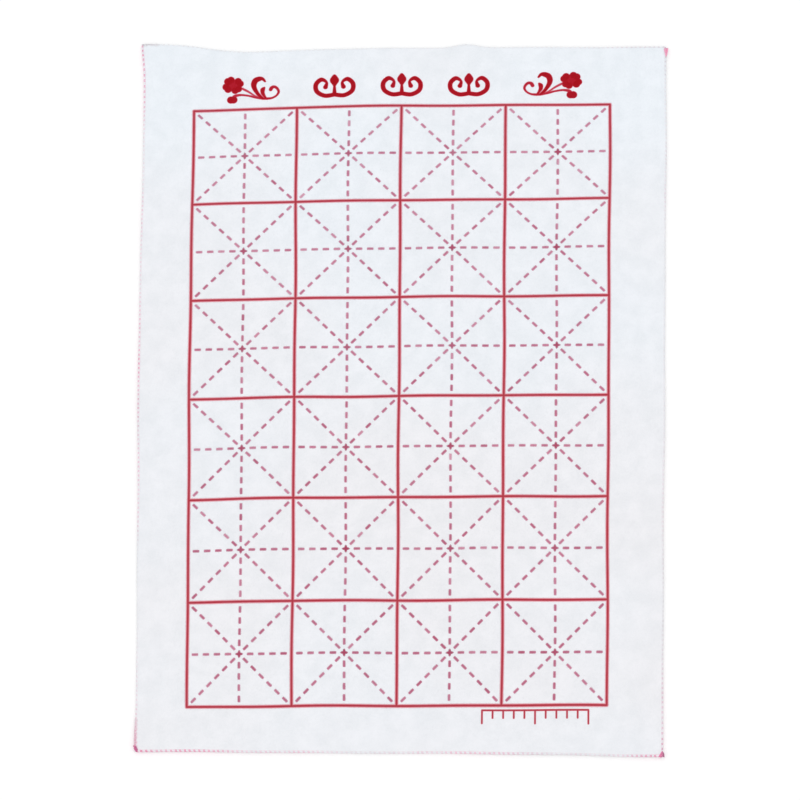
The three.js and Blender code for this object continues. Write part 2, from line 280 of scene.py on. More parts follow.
@dataclass
class Surface:
    """Points, their faces of four and of three sides, and the values that ride on the points.

    On a creased surface, faces that don't look up, whose normal rises by less than facing_up, are shaded
    apart from those that do, so its rim stays crisp.
    """

    points: Array
    quads: Array
    triangles: Array = field(default_factory=lambda: np.zeros((0, 3), int))
    values: dict[str, Array] = field(default_factory=dict)
    creased: bool = False
    facing_up: float = 0.5

    @staticmethod
    def joined(parts: list["Surface"]) -> "Surface":
        """Several surfaces side by side in one, each with its own points.

        Args:
            parts: Surfaces that carry the same values.

        Returns:
            One surface, whose faces are counted on from part to part.
        """
        starts = np.cumsum([0] + [len(part.points) for part in parts[:-1]])
        return Surface(
            np.concatenate([part.points for part in parts]),
            np.concatenate([part.quads + start for part, start in zip(parts, starts)]),
            np.concatenate([part.triangles + start for part, start in zip(parts, starts)]),
            {name: np.concatenate([part.values[name] for part in parts]) for name in parts[0].values},
            parts[0].creased,
        )

    def mesh(self, name: str, lie: FeltLie, material: bpy.types.Material) -> bpy.types.Mesh:
        """The surface laid with the felt, as a mesh that carries its values as attributes.

        Args:
            name: Name of the mesh.
            lie: How the felt lies.
            material: The finish.

        Returns:
            The mesh.
        """
        mesh = bpy.data.meshes.new(name)
        faces = self.quads.tolist() + self.triangles.tolist()
        mesh.from_pydata(lie.laid(self.points).tolist(), [], faces)
        for value, numbers in self.values.items():
            attribute = mesh.attributes.new(value, "FLOAT", "POINT")
            attribute.data.foreach_set("value", numbers.astype(np.float32))
        normals = np.empty((len(mesh.polygons), 3), np.float32)
        mesh.polygons.foreach_get("normal", normals.ravel())
        mesh.polygons.foreach_set("use_smooth", (normals[:, 2] > self.facing_up) | (not self.creased))
        mesh.materials.append(material)
        mesh.update()
        return mesh


def threads(
    paths: Array, width: Array | float, height: Array | float, reference: Array, sides: int
) -> Surface:
    """Round or flattened threads carried along many paths at once.

    A point of a path carries a ring: the point plus cos(a) * width * side plus sin(a) * height * rise, where
    side is square to the path and the reference, and rise is square to both. One more point closes each end.

    Args:
        paths: Points of each path, as an array of paths by points by 3.
        width: Half the section's size along side, one number or one for each point of each path.
        height: Half the section's size along rise, one number or one for each point of each path.
        reference: A direction that the paths never run along.
        sides: Points in a ring.

    Returns:
        The closed threads, with the distance along and the angle around as values.
    """
    count, steps = paths.shape[:2]
    run = unit(np.gradient(paths, axis=1))
    side = unit(np.cross(run, reference))
    rise = np.cross(side, run)
    angle = 2.0 * np.pi * np.arange(sides) / sides
    wide = np.broadcast_to(width, (count, steps))[..., None, None] * np.cos(angle)[:, None]
    high = np.broadcast_to(height, (count, steps))[..., None, None] * np.sin(angle)[:, None]
    rings = paths[:, :, None] + wide * side[:, :, None] + high * rise[:, :, None]
    length = np.linalg.norm(np.diff(paths, axis=1), axis=-1).cumsum(axis=1)
    length = np.concatenate([np.zeros((count, 1)), length], axis=1)

    ring_points = count * steps * sides
    index = np.arange(ring_points).reshape(count, steps, sides)
    turned = np.roll(index, -1, axis=2)
    quads = np.stack([index[:, :-1], index[:, 1:], turned[:, 1:], turned[:, :-1]], axis=-1).reshape(-1, 4)
    first = np.broadcast_to(ring_points + np.arange(count)[:, None], (count, sides))
    last = first + count
    caps = [
        np.stack([first, index[:, 0], turned[:, 0]], axis=-1).reshape(-1, 3),
        np.stack([last, turned[:, -1], index[:, -1]], axis=-1).reshape(-1, 3),
    ]
    ends = np.concatenate([paths[:, 0], paths[:, -1]])
    on_rings = np.broadcast_to(length[..., None], index.shape).ravel()
    values = {
        "along": np.concatenate([on_rings, length[:, 0], length[:, -1]]),
        "around": np.concatenate([np.broadcast_to(angle, index.shape).ravel(), np.zeros(2 * count)]),
    }
    return Surface(np.concatenate([rings.reshape(-1, 3), ends]), quads, np.concatenate(caps), values)


@dataclass(frozen=True)
class InkLayer:
    """Where the ink lies: the felt's face, how far ink stands on it and soaks into it, and its thin rim."""

    rest: float
    rise: float = 0.06 * MM
    depth: float = 0.05 * MM
    bleed_mm: float = 0.4
    rim_width_mm: float = 0.9

    def film(self, x: Array, y: Array, kept: Array, soak: Array) -> Surface:
        """A closed film of ink over the kept cells of a net of points.

        The film's face lies at rest + rise * soak, so it thins to its rim, its back lies depth below rest,
        and walls close it wherever a kept cell meets one that isn't.

        Args:
            x: X of the net's points, rows by columns.
            y: Y of the net's points.
            kept: Which cells carry ink, one row and one column fewer than the points.
            soak: How much ink each point carries, 0 at the rim and 1 inside.

        Returns:
            The film, with its soak as a value.
        """
        index = np.arange(x.size).reshape(x.shape)
        face = net_cells(index)[kept]
        below = x.size
        framed = np.pad(kept, 1)
        walls = []
        for here, there, low, high in (
            (framed[1:-1, 1:], framed[1:-1, :-1], index[:-1], index[1:]),
            (framed[1:-1, :-1], framed[1:-1, 1:], index[1:], index[:-1]),
            (framed[1:, 1:-1], framed[:-1, 1:-1], index[:, 1:], index[:, :-1]),
            (framed[:-1, 1:-1], framed[1:, 1:-1], index[:, :-1], index[:, 1:]),
        ):
            open_side = here & ~there
            low_end, high_end = low[open_side], high[open_side]
            walls.append(np.stack([low_end, high_end, high_end + below, low_end + below], axis=-1))
        quads = np.concatenate([face, face[:, ::-1] + below, *walls])
        used, quads = np.unique(quads, return_inverse=True)
        top = np.column_stack([x.ravel(), y.ravel(), self.rest + self.rise * soak.ravel()])
        back = np.column_stack([x.ravel(), y.ravel(), np.full(x.size, self.rest - self.depth)])
        return Surface(
            np.concatenate([top, back])[used],
            quads.reshape(-1, 4),
            values={"soak": np.tile(soak.ravel(), 2)[used]},
            creased=True,
        )


def spline(knots: Array, per_span: int) -> Array:
    """A smooth curve through knots.

    In each span it is a cubic, whose slope at a knot is half the step between the knot's neighbours.

    Args:
        knots: Rows of numbers, one row for each knot.
        per_span: Points for each span.

    Returns:
        Points along the curve, with the last knot at the end.
    """
    before = np.concatenate([knots[:1], knots[:-2]])
    start, end = knots[:-1], knots[1:]
    after = np.concatenate([knots[2:], knots[-1:]])
    slope_in, slope_out = 0.5 * (end - before), 0.5 * (after - start)
    t = (np.arange(per_span) / per_span)[None, :, None]
    cubic = (2.0 * (start - end) + slope_in + slope_out)[:, None] * t**3
    square = (3.0 * (end - start) - 2.0 * slope_in - slope_out)[:, None] * t**2
    curve = cubic + square + slope_in[:, None] * t + start[:, None]
    return np.concatenate([curve.reshape(-1, knots.shape[1]), knots[-1:]])


@dataclass
class InkShape:
    """A printed mark, drawn as overlapping round dabs of ink, in millimetres about the mark's own origin.

    Each entry of dabs holds rows of X, Y and radius, and strengths holds how much ink each entry carries.
    """

    dabs: list[Array] = field(default_factory=list)
    strengths: list[float] = field(default_factory=list)
    spacing: float = 0.3
    least_steepness: float = 0.25

    def dab(self, x: float, y: float, radius: float, strength: float = 1.0) -> None:
        """Adds one round dab."""
        self.dabs.append(np.array([[x, y, radius]]))
        self.strengths.append(strength)

    def stroke(self, knots: list[Numbers], stretch: float = 1.0, strength: float = 1.0) -> None:
        """Adds a brush stroke: dabs close together on a smooth curve.

        Args:
            knots: X, Y and width at each knot.
            stretch: What X is multiplied by, below 0 to draw it the other way round.
            strength: How much ink it carries, up to 1.
        """
        drawn = np.array(knots) * np.array([stretch, 1.0, 0.5])
        longest = np.linalg.norm(np.diff(drawn[:, :2], axis=0), axis=1).max()
        place = spline(drawn[:, :2], int(np.ceil(longest / self.spacing)))
        radius = np.interp(np.linspace(0, 1, len(place)), np.linspace(0, 1, len(drawn)), drawn[:, 2])
        self.dabs.append(np.column_stack([place, radius]))
        self.strengths.append(strength)

    def extent(self) -> tuple[Array, Array]:
        """The lowest and the highest X and Y that the dabs reach."""
        dabs = np.concatenate(self.dabs)
        return (dabs[:, :2] - dabs[:, 2:]).min(axis=0), (dabs[:, :2] + dabs[:, 2:]).max(axis=0)

    def film(self, low: Array, grain: float, ink: InkLayer) -> Surface:
        """The mark as a film of ink.

        The distance to the nearest dab's rim is taken at each point of a square net. Cells inside the rim,
        or within the ink's bleed of it, carry ink, and points on the film's outline are moved onto it down
        the distance's slope.

        Args:
            low: Where the mark's lowest X and Y lie on the mat.
            grain: Spacing of the net in millimetres.
            ink: Heights of the ink.

        Returns:
            The closed film.
        """
        least, most = self.extent()
        first = least - ink.bleed_mm - grain
        counts = np.ceil((most + ink.bleed_mm + 2.0 * grain - first) / grain).astype(int)
        x, y = np.meshgrid(*(first[axis] + grain * np.arange(counts[axis]) for axis in (0, 1)))
        rim = np.full(x.shape, np.inf)
        soak = np.zeros(x.shape)
        for part, strength in zip(self.dabs, self.strengths):
            gap = np.hypot(x[..., None] - part[:, 0], y[..., None] - part[:, 1]) - part[:, 2]
            inside = ink.bleed_mm - gap.min(axis=-1)
            rim = np.minimum(rim, -inside)
            soak = np.maximum(soak, strength * np.clip(inside / ink.rim_width_mm, 0.0, 1.0))
        kept = (rim[:-1, :-1] + rim[1:, :-1] + rim[:-1, 1:] + rim[1:, 1:]) < 0.0
        touching = sum(np.pad(kept.astype(int), ((a, 1 - a), (b, 1 - b))) for a in (0, 1) for b in (0, 1))
        on_rim = (touching > 0) & (touching < 4)
        slope_y, slope_x = np.gradient(rim, grain)
        steepness = np.maximum(slope_x**2 + slope_y**2, self.least_steepness)
        step = np.where(on_rim, np.clip(rim, -grain, grain) / steepness, 0.0)
        soak = np.where(on_rim, 0.0, soak)
        place = low[:2] - least * MM
        net_x = place[0] + (x - step * slope_x) * MM
        net_y = place[1] + (y - step * slope_y) * MM
        return ink.film(net_x, net_y, kept, soak)


class Graph:
    """A shader node tree with short calls to add nodes and wire them."""

    def __init__(self, tree: bpy.types.NodeTree) -> None:
        """Starts with an empty tree."""
        self.tree = tree
        tree.nodes.clear()

    def feed(self, node: bpy.types.Node, inputs: dict[int | str, Any]) -> None:
        """Sets or wires a node's sockets.

        Args:
            node: The node.
            inputs: For each socket, by name or number, a value or the output that feeds it.
        """
        for socket, value in inputs.items():
            if isinstance(value, bpy.types.NodeSocket):
                self.tree.links.new(value, node.inputs[socket])
            else:
                node.inputs[socket].default_value = value

    def add(self, kind: str, inputs: dict[int | str, Any], **settings: Any) -> bpy.types.Node:
        """Adds a node.

        Args:
            kind: Blender's name for the node's type.
            inputs: For each socket, by name or number, a value or the output that feeds it.
            settings: Properties of the node.

        Returns:
            The node.
        """
        node = self.tree.nodes.new(kind)
        for name, value in settings.items():
            setattr(node, name, value)
        self.feed(node, inputs)
        return node

    def sum_of(self, operation: str, first: Any, second: Any = 0.0, third: Any = 0.0) -> bpy.types.NodeSocket:
        """The output of a Math node, whose operation, such as ADD, takes up to three numbers or outputs."""
        return self.add("ShaderNodeMath", {0: first, 1: second, 2: third}, operation=operation).outputs[0]

    def blend(self, share: Any, first: Any, second: Any) -> bpy.types.NodeSocket:
        """A colour between two colours, by a share of 0 for the first and 1 for the second."""
        return self.add("ShaderNodeMix", {0: share, 6: first, 7: second}, data_type="RGBA").outputs[2]

    def tinted(self, share: Any, first: Any, second: Any) -> bpy.types.NodeSocket:
        """A colour times another, by a share of 0 for the bare first colour to 1 for the whole product."""
        sockets = {0: share, 6: first, 7: second}
        return self.add("ShaderNodeMix", sockets, data_type="RGBA", blend_type="MULTIPLY").outputs[2]

    def ramp(self, value: Any, low: float, high: float) -> bpy.types.NodeSocket:
        """A smooth rise from 0 to 1 as a value goes from low to high."""
        inputs = {"Value": value, "From Min": low, "From Max": high}
        return self.add("ShaderNodeMapRange", inputs, interpolation_type="SMOOTHSTEP").outputs[0]

    def noise(self, vector: Any, scale: Any, detail: float) -> bpy.types.NodeSocket:
        """Cloudy noise of 0 to 1, with scale blobs to the metre."""
        return self.add("ShaderNodeTexNoise", {"Vector": vector, "Scale": scale, "Detail": detail}).outputs[0]

    def ridged(self, value: Any, half_width: float) -> bpy.types.NodeSocket:
        """Thin crests of 1 where a noise passes through its middle, falling to 0 on both sides."""
        off_middle = self.sum_of("ABSOLUTE", self.sum_of("MULTIPLY_ADD", value, 2.0, -1.0))
        return self.ramp(off_middle, half_width, 0.0)

    def value_of(self, name: str) -> bpy.types.NodeSocket:
        """A value that rides on the surface's points."""
        return self.add("ShaderNodeAttribute", {}, attribute_name=name).outputs["Fac"]

    def relief(self, height: Any, distance: float, strength: float) -> bpy.types.NodeSocket:
        """The normal of a bump whose height of 1 stands a distance above its 0."""
        inputs = {"Height": height, "Distance": distance, "Strength": strength}
        return self.add("ShaderNodeBump", inputs).outputs[0]


def node_group(name: str, inputs: dict[str, str], outputs: tuple[str, ...]) -> tuple[Graph, Any, Any]:
    """An empty shader node group with named sockets.

    Args:
        name: Name of the group.
        inputs: Names of the inputs, with the kind of socket of each.
        outputs: Names of the outputs, all plain numbers.

    Returns:
        The group's graph, its inputs by name and its outputs' node.
    """
    tree = bpy.data.node_groups.new(name, "ShaderNodeTree")
    for socket, kind in inputs.items():
        tree.interface.new_socket(socket, in_out="INPUT", socket_type=kind)
    for socket in outputs:
        tree.interface.new_socket(socket, in_out="OUTPUT", socket_type="NodeSocketFloat")
    graph = Graph(tree)
    return graph, graph.add("NodeGroupInput", {}).outputs, graph.add("NodeGroupOutput", {})


def new_material(name: str) -> tuple[bpy.types.Material, Graph, bpy.types.Node]:
    """A material with one Principled shader.

    Args:
        name: Name of the material.

    Returns:
        The material, its graph and the shader.
    """
    made = bpy.data.materials.new(name)
    made.use_nodes = True
    graph = Graph(made.node_tree)
    shader = graph.add("ShaderNodeBsdfPrincipled", {})
    graph.add("ShaderNodeOutputMaterial", {"Surface": shader.outputs[0]})
    return made, graph, shader


@dataclass(frozen=True)
class FeltFibre:
    """The make of needle felt: crossed fibres, dimples and clouds of density, with slow random tone and a
    painted shade that grows to the foot.

    Fibres lie in the directions of the turns, each drawn out along its run. Rates are multiples of the
    clouds' own, heights and shares are parts of 1, and the foot span of the painted shade is in metres along
    the mat.
    """

    turns: Numbers = (0.3, 1.4, 2.5)
    drawn_out: float = 6.0
    crest: float = 0.16
    fibre_height: float = 0.45
    dimple_rate: float = 6.0
    dimple_height: float = 0.55
    cast_rate: float = 0.07
    cast_span: Span = (0.35, 0.65)
    cast_share: float = 0.4
    foot_span: Span = (0.34, -0.2)
    foot_shade_share: float = 0.6

    def group(self) -> bpy.types.NodeTree:
        """The felt as a node group.

        Returns:
            A group with the outputs Fibre, Cloud, Shaded Tone and Height, each about 0 to 1. Shaded Tone is
            slow random tone plus painted shade towards the foot.
        """
        sockets = {"Vector": "NodeSocketVector", "Fibres": "NodeSocketFloat", "Clouds": "NodeSocketFloat"}
        graph, entry, leave = node_group("Felt Fibre", sockets, ("Fibre", "Cloud", "Cast", "Height"))
        place, clouds = entry["Vector"], entry["Clouds"]
        web: Any = 0.0
        for turn in self.turns:
            lie = {"Vector": place, "Rotation": (0.0, 0.0, turn), "Scale": (1.0, self.drawn_out, 1.0)}
            laid = graph.add("ShaderNodeMapping", lie, vector_type="TEXTURE").outputs[0]
            crest = graph.ridged(graph.noise(laid, entry["Fibres"], detail=2.0), self.crest)
            web = graph.sum_of("MAXIMUM", crest, web)
        cloud = graph.noise(place, clouds, detail=3.0)
        dimple = graph.noise(place, graph.sum_of("MULTIPLY", clouds, self.dimple_rate), detail=2.0)
        dimple = graph.sum_of("MULTIPLY", dimple, self.dimple_height)
        height = graph.sum_of("MULTIPLY_ADD", web, self.fibre_height, dimple)
        slow = graph.noise(place, graph.sum_of("MULTIPLY", clouds, self.cast_rate), detail=1.0)
        along = graph.add("ShaderNodeSeparateXYZ", {0: place}).outputs["Y"]
        cast = graph.sum_of("MULTIPLY", graph.ramp(slow, *self.cast_span), self.cast_share)
        # Painted shade: the felt's tint grows from the head to the foot, on top of slow random tone.
        cast = graph.sum_of("MULTIPLY_ADD", graph.ramp(along, *self.foot_span), self.foot_shade_share, cast)
        graph.feed(leave, {"Fibre": web, "Cloud": cloud, "Cast": cast, "Height": height})
        return graph.tree


def thread_twist_group() -> bpy.types.NodeTree:
    """Twisted thread: plies that wind round it, as a rounded wave of the distance along and the angle around.

    Returns:
        A group with the output Ply, 0 between plies and 1 on them.
    """
    plies = 2.0
    sockets = {"Along": "NodeSocketFloat", "Around": "NodeSocketFloat", "Twist": "NodeSocketFloat"}
    graph, entry, leave = node_group("Thread Twist", sockets, ("Ply",))
    wound = graph.sum_of("MULTIPLY", entry["Along"], entry["Twist"])
    wave = graph.sum_of("SINE", graph.sum_of("MULTIPLY_ADD", entry["Around"], plies, wound))
    graph.feed(leave, {"Ply": graph.sum_of("MULTIPLY_ADD", wave, 0.5, 0.5)})
    return graph.tree


@dataclass(frozen=True)
class FeltFinish:
    """Matt white needle felt with a faintly cool tone, tinted warmer and darker towards the foot as painted
    shade. Fibres and clouds are counted to the metre.
    """

    light: Colour = linear(243, 248, 254)
    shade: Colour = linear(234, 240, 246)
    # Tint at full painted shade: a little warmer and darker, towards the foot.
    cast: Colour = (1.02, 0.967, 0.946, 1.0)
    fibres: float = 800.0
    fibre_share: float = 0.3
    clouds: float = 62.0
    cloud_span: Span = (0.25, 0.75)
    cloud_share: float = 0.7
    nap: float = 0.35 * MM
    nap_strength: float = 0.5
    roughness: float = 0.95
    gloss: float = 0.15
    sheen: float = 0.06

    def nodes(self, graph: Graph, fibre_group: bpy.types.NodeTree) -> bpy.types.Node:
        """Places the felt's fibres on Object coordinates.

        Args:
            graph: The material's graph.
            fibre_group: The Felt Fibre group.

        Returns:
            The group's node.
        """
        place = graph.add("ShaderNodeTexCoord", {}).outputs["Object"]
        inputs = {"Vector": place, "Fibres": self.fibres, "Clouds": self.clouds}
        return graph.add("ShaderNodeGroup", inputs, node_tree=fibre_group)

    def colour(self, graph: Graph, felt: bpy.types.Node) -> bpy.types.NodeSocket:
        """The bare felt's colour: clouds of denser fibre, lighter single fibres, slow random tone and painted
        shade that grows to the foot.

        Args:
            graph: The material's graph.
            felt: The Felt Fibre group's node.

        Returns:
            The colour.
        """
        cloud = graph.ramp(felt.outputs["Cloud"], *self.cloud_span)
        cloud = graph.sum_of("MULTIPLY", cloud, self.cloud_share)
        share = graph.sum_of("MULTIPLY_ADD", felt.outputs["Fibre"], self.fibre_share, cloud)
        # Painted shade and slow random tone tint the felt, most at the foot.
        return graph.tinted(felt.outputs["Cast"], graph.blend(share, self.shade, self.light), self.cast)

    def material(self, fibre_group: bpy.types.NodeTree) -> bpy.types.Material:
        """The felt's material.

        Args:
            fibre_group: The Felt Fibre group.

        Returns:
            A matt material with fibre colour and nap.
        """
        made, graph, shader = new_material("white_felt")
        felt = self.nodes(graph, fibre_group)
        graph.feed(shader, {
            "Base Color": self.colour(graph, felt),
            "Normal": graph.relief(felt.outputs["Height"], self.nap, self.nap_strength),
            "Roughness": self.roughness,
            "Specular IOR Level": self.gloss,
            "Sheen Weight": self.sheen,
        })
        return made


@dataclass(frozen=True)
class InkFinish:
    """Matt red screen ink, which soaks into the felt like a dye and is thinner at the rim of each mark.

    Core is the share of light that the pigment lying in the middle of a mark leaves over. The ink taken up
    is even, less what lighter fibres refuse and more where the felt is dense. It smooths the felt a little.
    """

    name: str
    dye: Colour
    core: float
    felt: FeltFinish = FeltFinish()
    even: float = 0.98
    refused: float = 0.1
    dense: float = 0.1
    dense_span: Span = (0.3, 0.7)
    nap_strength: float = 0.4
    smoothing: float = 0.2
    gloss: float = 0.06

    def material(self, fibre_group: bpy.types.NodeTree) -> bpy.types.Material:
        """The ink's material: the felt's colour, times what the dye lets through to the power of the soak.

        Args:
            fibre_group: The Felt Fibre group.

        Returns:
            A matt material that fades into felt at its rim.
        """
        made, graph, shader = new_material(self.name)
        felt = self.felt.nodes(graph, fibre_group)
        soak = graph.value_of("soak")
        patchy = graph.sum_of("MULTIPLY_ADD", felt.outputs["Fibre"], -self.refused, self.even)
        cloud = graph.ramp(felt.outputs["Cloud"], *self.dense_span)
        patchy = graph.sum_of("MULTIPLY_ADD", cloud, self.dense, patchy)
        taken = graph.sum_of("MULTIPLY", soak, patchy)
        clear = (*(dyed / bare for dyed, bare in zip(self.dye[:3], self.felt.light[:3])), 1.0)
        through = graph.add("ShaderNodeGamma", {"Color": clear, "Gamma": taken}).outputs[0]
        pigment = graph.blend(graph.sum_of("POWER", soak, 2.0), WHITE, (*[self.core] * 3, 1.0))
        colour = graph.tinted(1.0, graph.tinted(1.0, self.felt.colour(graph, felt), through), pigment)
        graph.feed(shader, {
            "Base Color": colour,
            "Normal": graph.relief(felt.outputs["Height"], self.felt.nap, self.nap_strength),
            "Roughness": graph.sum_of("MULTIPLY_ADD", soak, -self.smoothing, self.felt.roughness),
            "Specular IOR Level": self.gloss,
        })
        return made


@dataclass(frozen=True)
class ThreadFinish:
    """Twisted sewing thread, undyed to a dull colour or pink along its length, and paler on its plies."""

    name: str
    undyed: Colour = linear(249, 249, 251)
    dull: Colour = linear(160, 160, 170)
    pink: Colour = linear(250, 98, 166)
    twist: float = 9000.0
    paler: float = 0.12
    ply_height: float = 0.06 * MM
    ply_strength: float = 0.6
    roughness: float = 0.6
    gloss: float = 0.3
    sheen: float = 0.2

    def material(self, twist_group: bpy.types.NodeTree) -> bpy.types.Material:
        """The thread's material.

        Args:
            twist_group: The Thread Twist group.

        Returns:
            A soft material whose colour follows the values tint and dye, with wound plies.
        """
        made, graph, shader = new_material(self.name)
        winding = {"Along": graph.value_of("along"), "Around": graph.value_of("around"), "Twist": self.twist}
        ply = graph.add("ShaderNodeGroup", winding, node_tree=twist_group).outputs["Ply"]
        dyed = graph.blend(graph.value_of("tint"), self.dull, self.pink)
        worn = graph.sum_of("MULTIPLY_ADD", ply, -self.paler, 1.0)
        worn = graph.sum_of("MULTIPLY", graph.value_of("dye"), worn)
        graph.feed(shader, {
            "Base Color": graph.blend(worn, self.undyed, dyed),
            "Normal": graph.relief(ply, self.ply_height, self.ply_strength),
            "Roughness": self.roughness,
            "Specular IOR Level": self.gloss,
            "Sheen Weight": self.sheen,
        })
        return made


@dataclass(frozen=True)
class Rim:
    """The felt's section at a sewn edge: rounded off, and squeezed by the thread, most under each stitch."""

    thickness: float
    thread_layer: float = 0.35 * MM
    round_over: float = 0.6 * MM
    squeeze_reach: float = 3.5 * MM
    squeeze: float = 0.1 * MM
    dent: float = 0.18 * MM
    mean_bite: float = 0.5

    def half(self, inset: Array, bite: Array) -> Array:
        """Half the felt's thickness a way in from the edge, less a squeeze that dies out inwards.

        Args:
            inset: Distance from the felt's edge.
            bite: 1 under a stitch and 0 midway between two.

        Returns:
            Half the thickness, before the edge is rounded off.
        """
        near = np.clip(1.0 - inset / self.squeeze_reach, 0.0, 1.0) ** 2
        return self.thickness / 2.0 - (self.squeeze + self.dent * bite) * near

    def face_at(self, inset: Array) -> Array:
        """Height of the upper face a way in from the edge, over the rounded rim too, for the mean bite.

        Args:
            inset: Distance from the felt's edge, below 0 outside it.

        Returns:
            The height over the underside.
        """
        inward = np.maximum(inset, 0.0)
        shoulder = np.clip(1.0 - inward / self.round_over, 0.0, 1.0)
        half = self.half(inward, np.array(self.mean_bite))
        return self.thickness / 2.0 + half * np.sqrt(1.0 - shoulder**2)

    def around(self, turn: Array, bite: Array, proud: float) -> tuple[Array, Array]:
        """A point on the rounded edge, or proud of it, as an ellipse about the middle of the thickness.

        Args:
            turn: Angle, a quarter turn on the upper face, 0 at the outermost point.
            bite: 1 under a stitch and 0 midway between two.
            proud: Distance off the felt.

        Returns:
            Distance in from the felt's edge, and height over the underside.
        """
        inset = self.round_over - (self.round_over + proud) * np.cos(turn)
        height = (self.half(np.maximum(inset, 0.0), bite) + proud) * np.sin(turn)
        return inset, self.thickness / 2.0 + height


@dataclass
class FeltSheet:
    """The felt: one closed sheet with a fine net round its sewn rim and a coarse one inside.

    The rim's rows lie at the flat insets on both faces and at the turns, in degrees, round the edge.
    """

    width: float
    length: float
    rim: Rim
    stitches_across: int
    stitches_along: int
    steps_per_stitch: int = 4
    inner_margin: float = 13.0 * MM
    flat_insets_mm: Numbers = (9.0, 6.5, 4.8, 3.5, 2.5, 1.8)
    edge_turns: Numbers = (90.0, 62.0, 36.0, 12.0, -12.0, -36.0, -62.0, -90.0)

    def loop(self) -> tuple[Array, Array, Array]:
        """The fine points round the sheet, anticlockwise from the lower left corner.

        Returns:
            X and Y of each point as shares of the half sizes, and the bite of the stitches there.
        """
        across = self.stitches_across * self.steps_per_stitch
        along = self.stitches_along * self.steps_per_stitch
        s = -1.0 + 2.0 * np.arange(across) / across
        t = -1.0 + 2.0 * np.arange(along) / along
        x = np.concatenate([s, np.ones(along), -s, -np.ones(along)])
        y = np.concatenate([-np.ones(across), t, np.ones(across), -t])
        phase = np.arange(len(x)) / self.steps_per_stitch
        return x, y, 0.5 - 0.5 * np.cos(2.0 * np.pi * phase)

    def rim_rows(self, bite: Array) -> tuple[Array, Array]:
        """The rim's section, row by row from the upper face round the edge to the underside.

        Args:
            bite: The bite of the stitches at each point round the sheet.

        Returns:
            Distance in from the felt's edge and height, each as rows by points.
        """
        flat_rows = np.array(self.flat_insets_mm)[:, None] * MM
        inset = np.broadcast_to(flat_rows, (len(flat_rows), len(bite)))
        middle = self.rim.thickness / 2.0
        half = self.rim.half(inset, bite)
        turns = np.radians(np.array(self.edge_turns))[:, None]
        round_inset, round_height = self.rim.around(turns, bite[None], 0.0)
        insets = np.concatenate([inset, np.broadcast_to(round_inset, round_height.shape), inset[::-1]])
        heights = np.concatenate([middle + half, round_height, middle - half[::-1]])
        return insets, heights

    def surface(self) -> Surface:
        """The closed sheet: upper net, fine rim round the edge, lower net, and triangles that join them.

        Returns:
            The sheet on the flat mat.
        """
        edge = np.array([self.width, self.length]) / 2.0 - self.rim.thread_layer
        x, y, bite = self.loop()
        insets, heights = self.rim_rows(bite)
        rim_points = np.stack([x * (edge[0] - insets), y * (edge[1] - insets), heights], axis=-1)
        rim_index = np.arange(heights.size).reshape(heights.shape)
        ahead = np.roll(rim_index, -1, axis=1)
        rim_quads = np.stack([rim_index[:-1], rim_index[1:], ahead[1:], ahead[:-1]], axis=-1).reshape(-1, 4)

        inner = edge - self.inner_margin
        net_x, net_y = np.meshgrid(np.linspace(-inner[0], inner[0], self.stitches_across + 1),
                                   np.linspace(-inner[1], inner[1], self.stitches_along + 1))
        points, quads, triangles = [rim_points.reshape(-1, 3)], [rim_quads], []
        for height, fine, upward in ((self.rim.thickness, rim_index[0], True), (0.0, rim_index[-1], False)):
            start = sum(len(part) for part in points)
            net = start + np.arange(net_x.size).reshape(net_x.shape)
            cells = net_cells(net).reshape(-1, 4)
            coarse = np.concatenate([net[0, :-1], net[:-1, -1], net[-1, :0:-1], net[:0:-1, 0]])
            fans = self.fans(coarse, fine)
            points.append(np.column_stack([net_x.ravel(), net_y.ravel(), np.full(net_x.size, height)]))
            quads.append(cells if upward else cells[:, ::-1])
            triangles.append(fans if upward else fans[:, ::-1])
        return Surface(np.concatenate(points), np.concatenate(quads), np.concatenate(triangles))

    def fans(self, coarse: Array, fine: Array) -> Array:
        """Triangles between the coarse inner loop and the fine outer one, half a stitch to each coarse point.

        Args:
            coarse: The inner loop's points, one to a stitch.
            fine: The outer loop's points.

        Returns:
            The triangles, facing up.
        """
        here, there = coarse, np.roll(coarse, -1)
        steps = self.steps_per_stitch
        outer = fine[(steps * np.arange(len(coarse))[:, None] + np.arange(steps + 1)) % len(fine)]
        half = steps // 2
        parts = [np.stack([here, outer[:, i], outer[:, i + 1]], axis=-1) for i in range(half)]
        parts.append(np.stack([here, outer[:, half], there], axis=-1))
        parts += [np.stack([there, outer[:, i], outer[:, i + 1]], axis=-1) for i in range(half, steps)]
        return np.concatenate(parts)


@dataclass(frozen=True)
class Wrap:
    """How a row of wrapped stitches lies on the rim.

    Bite is 1 for stitches that pull into the felt and 0 for those that lie on it. Reach is how far in from
    the edge they go, off is how far they stand off the felt in thread radii, and dye is how much of the dye
    they take.
    """

    bite: float
    reach: float
    off: float
    dye: float


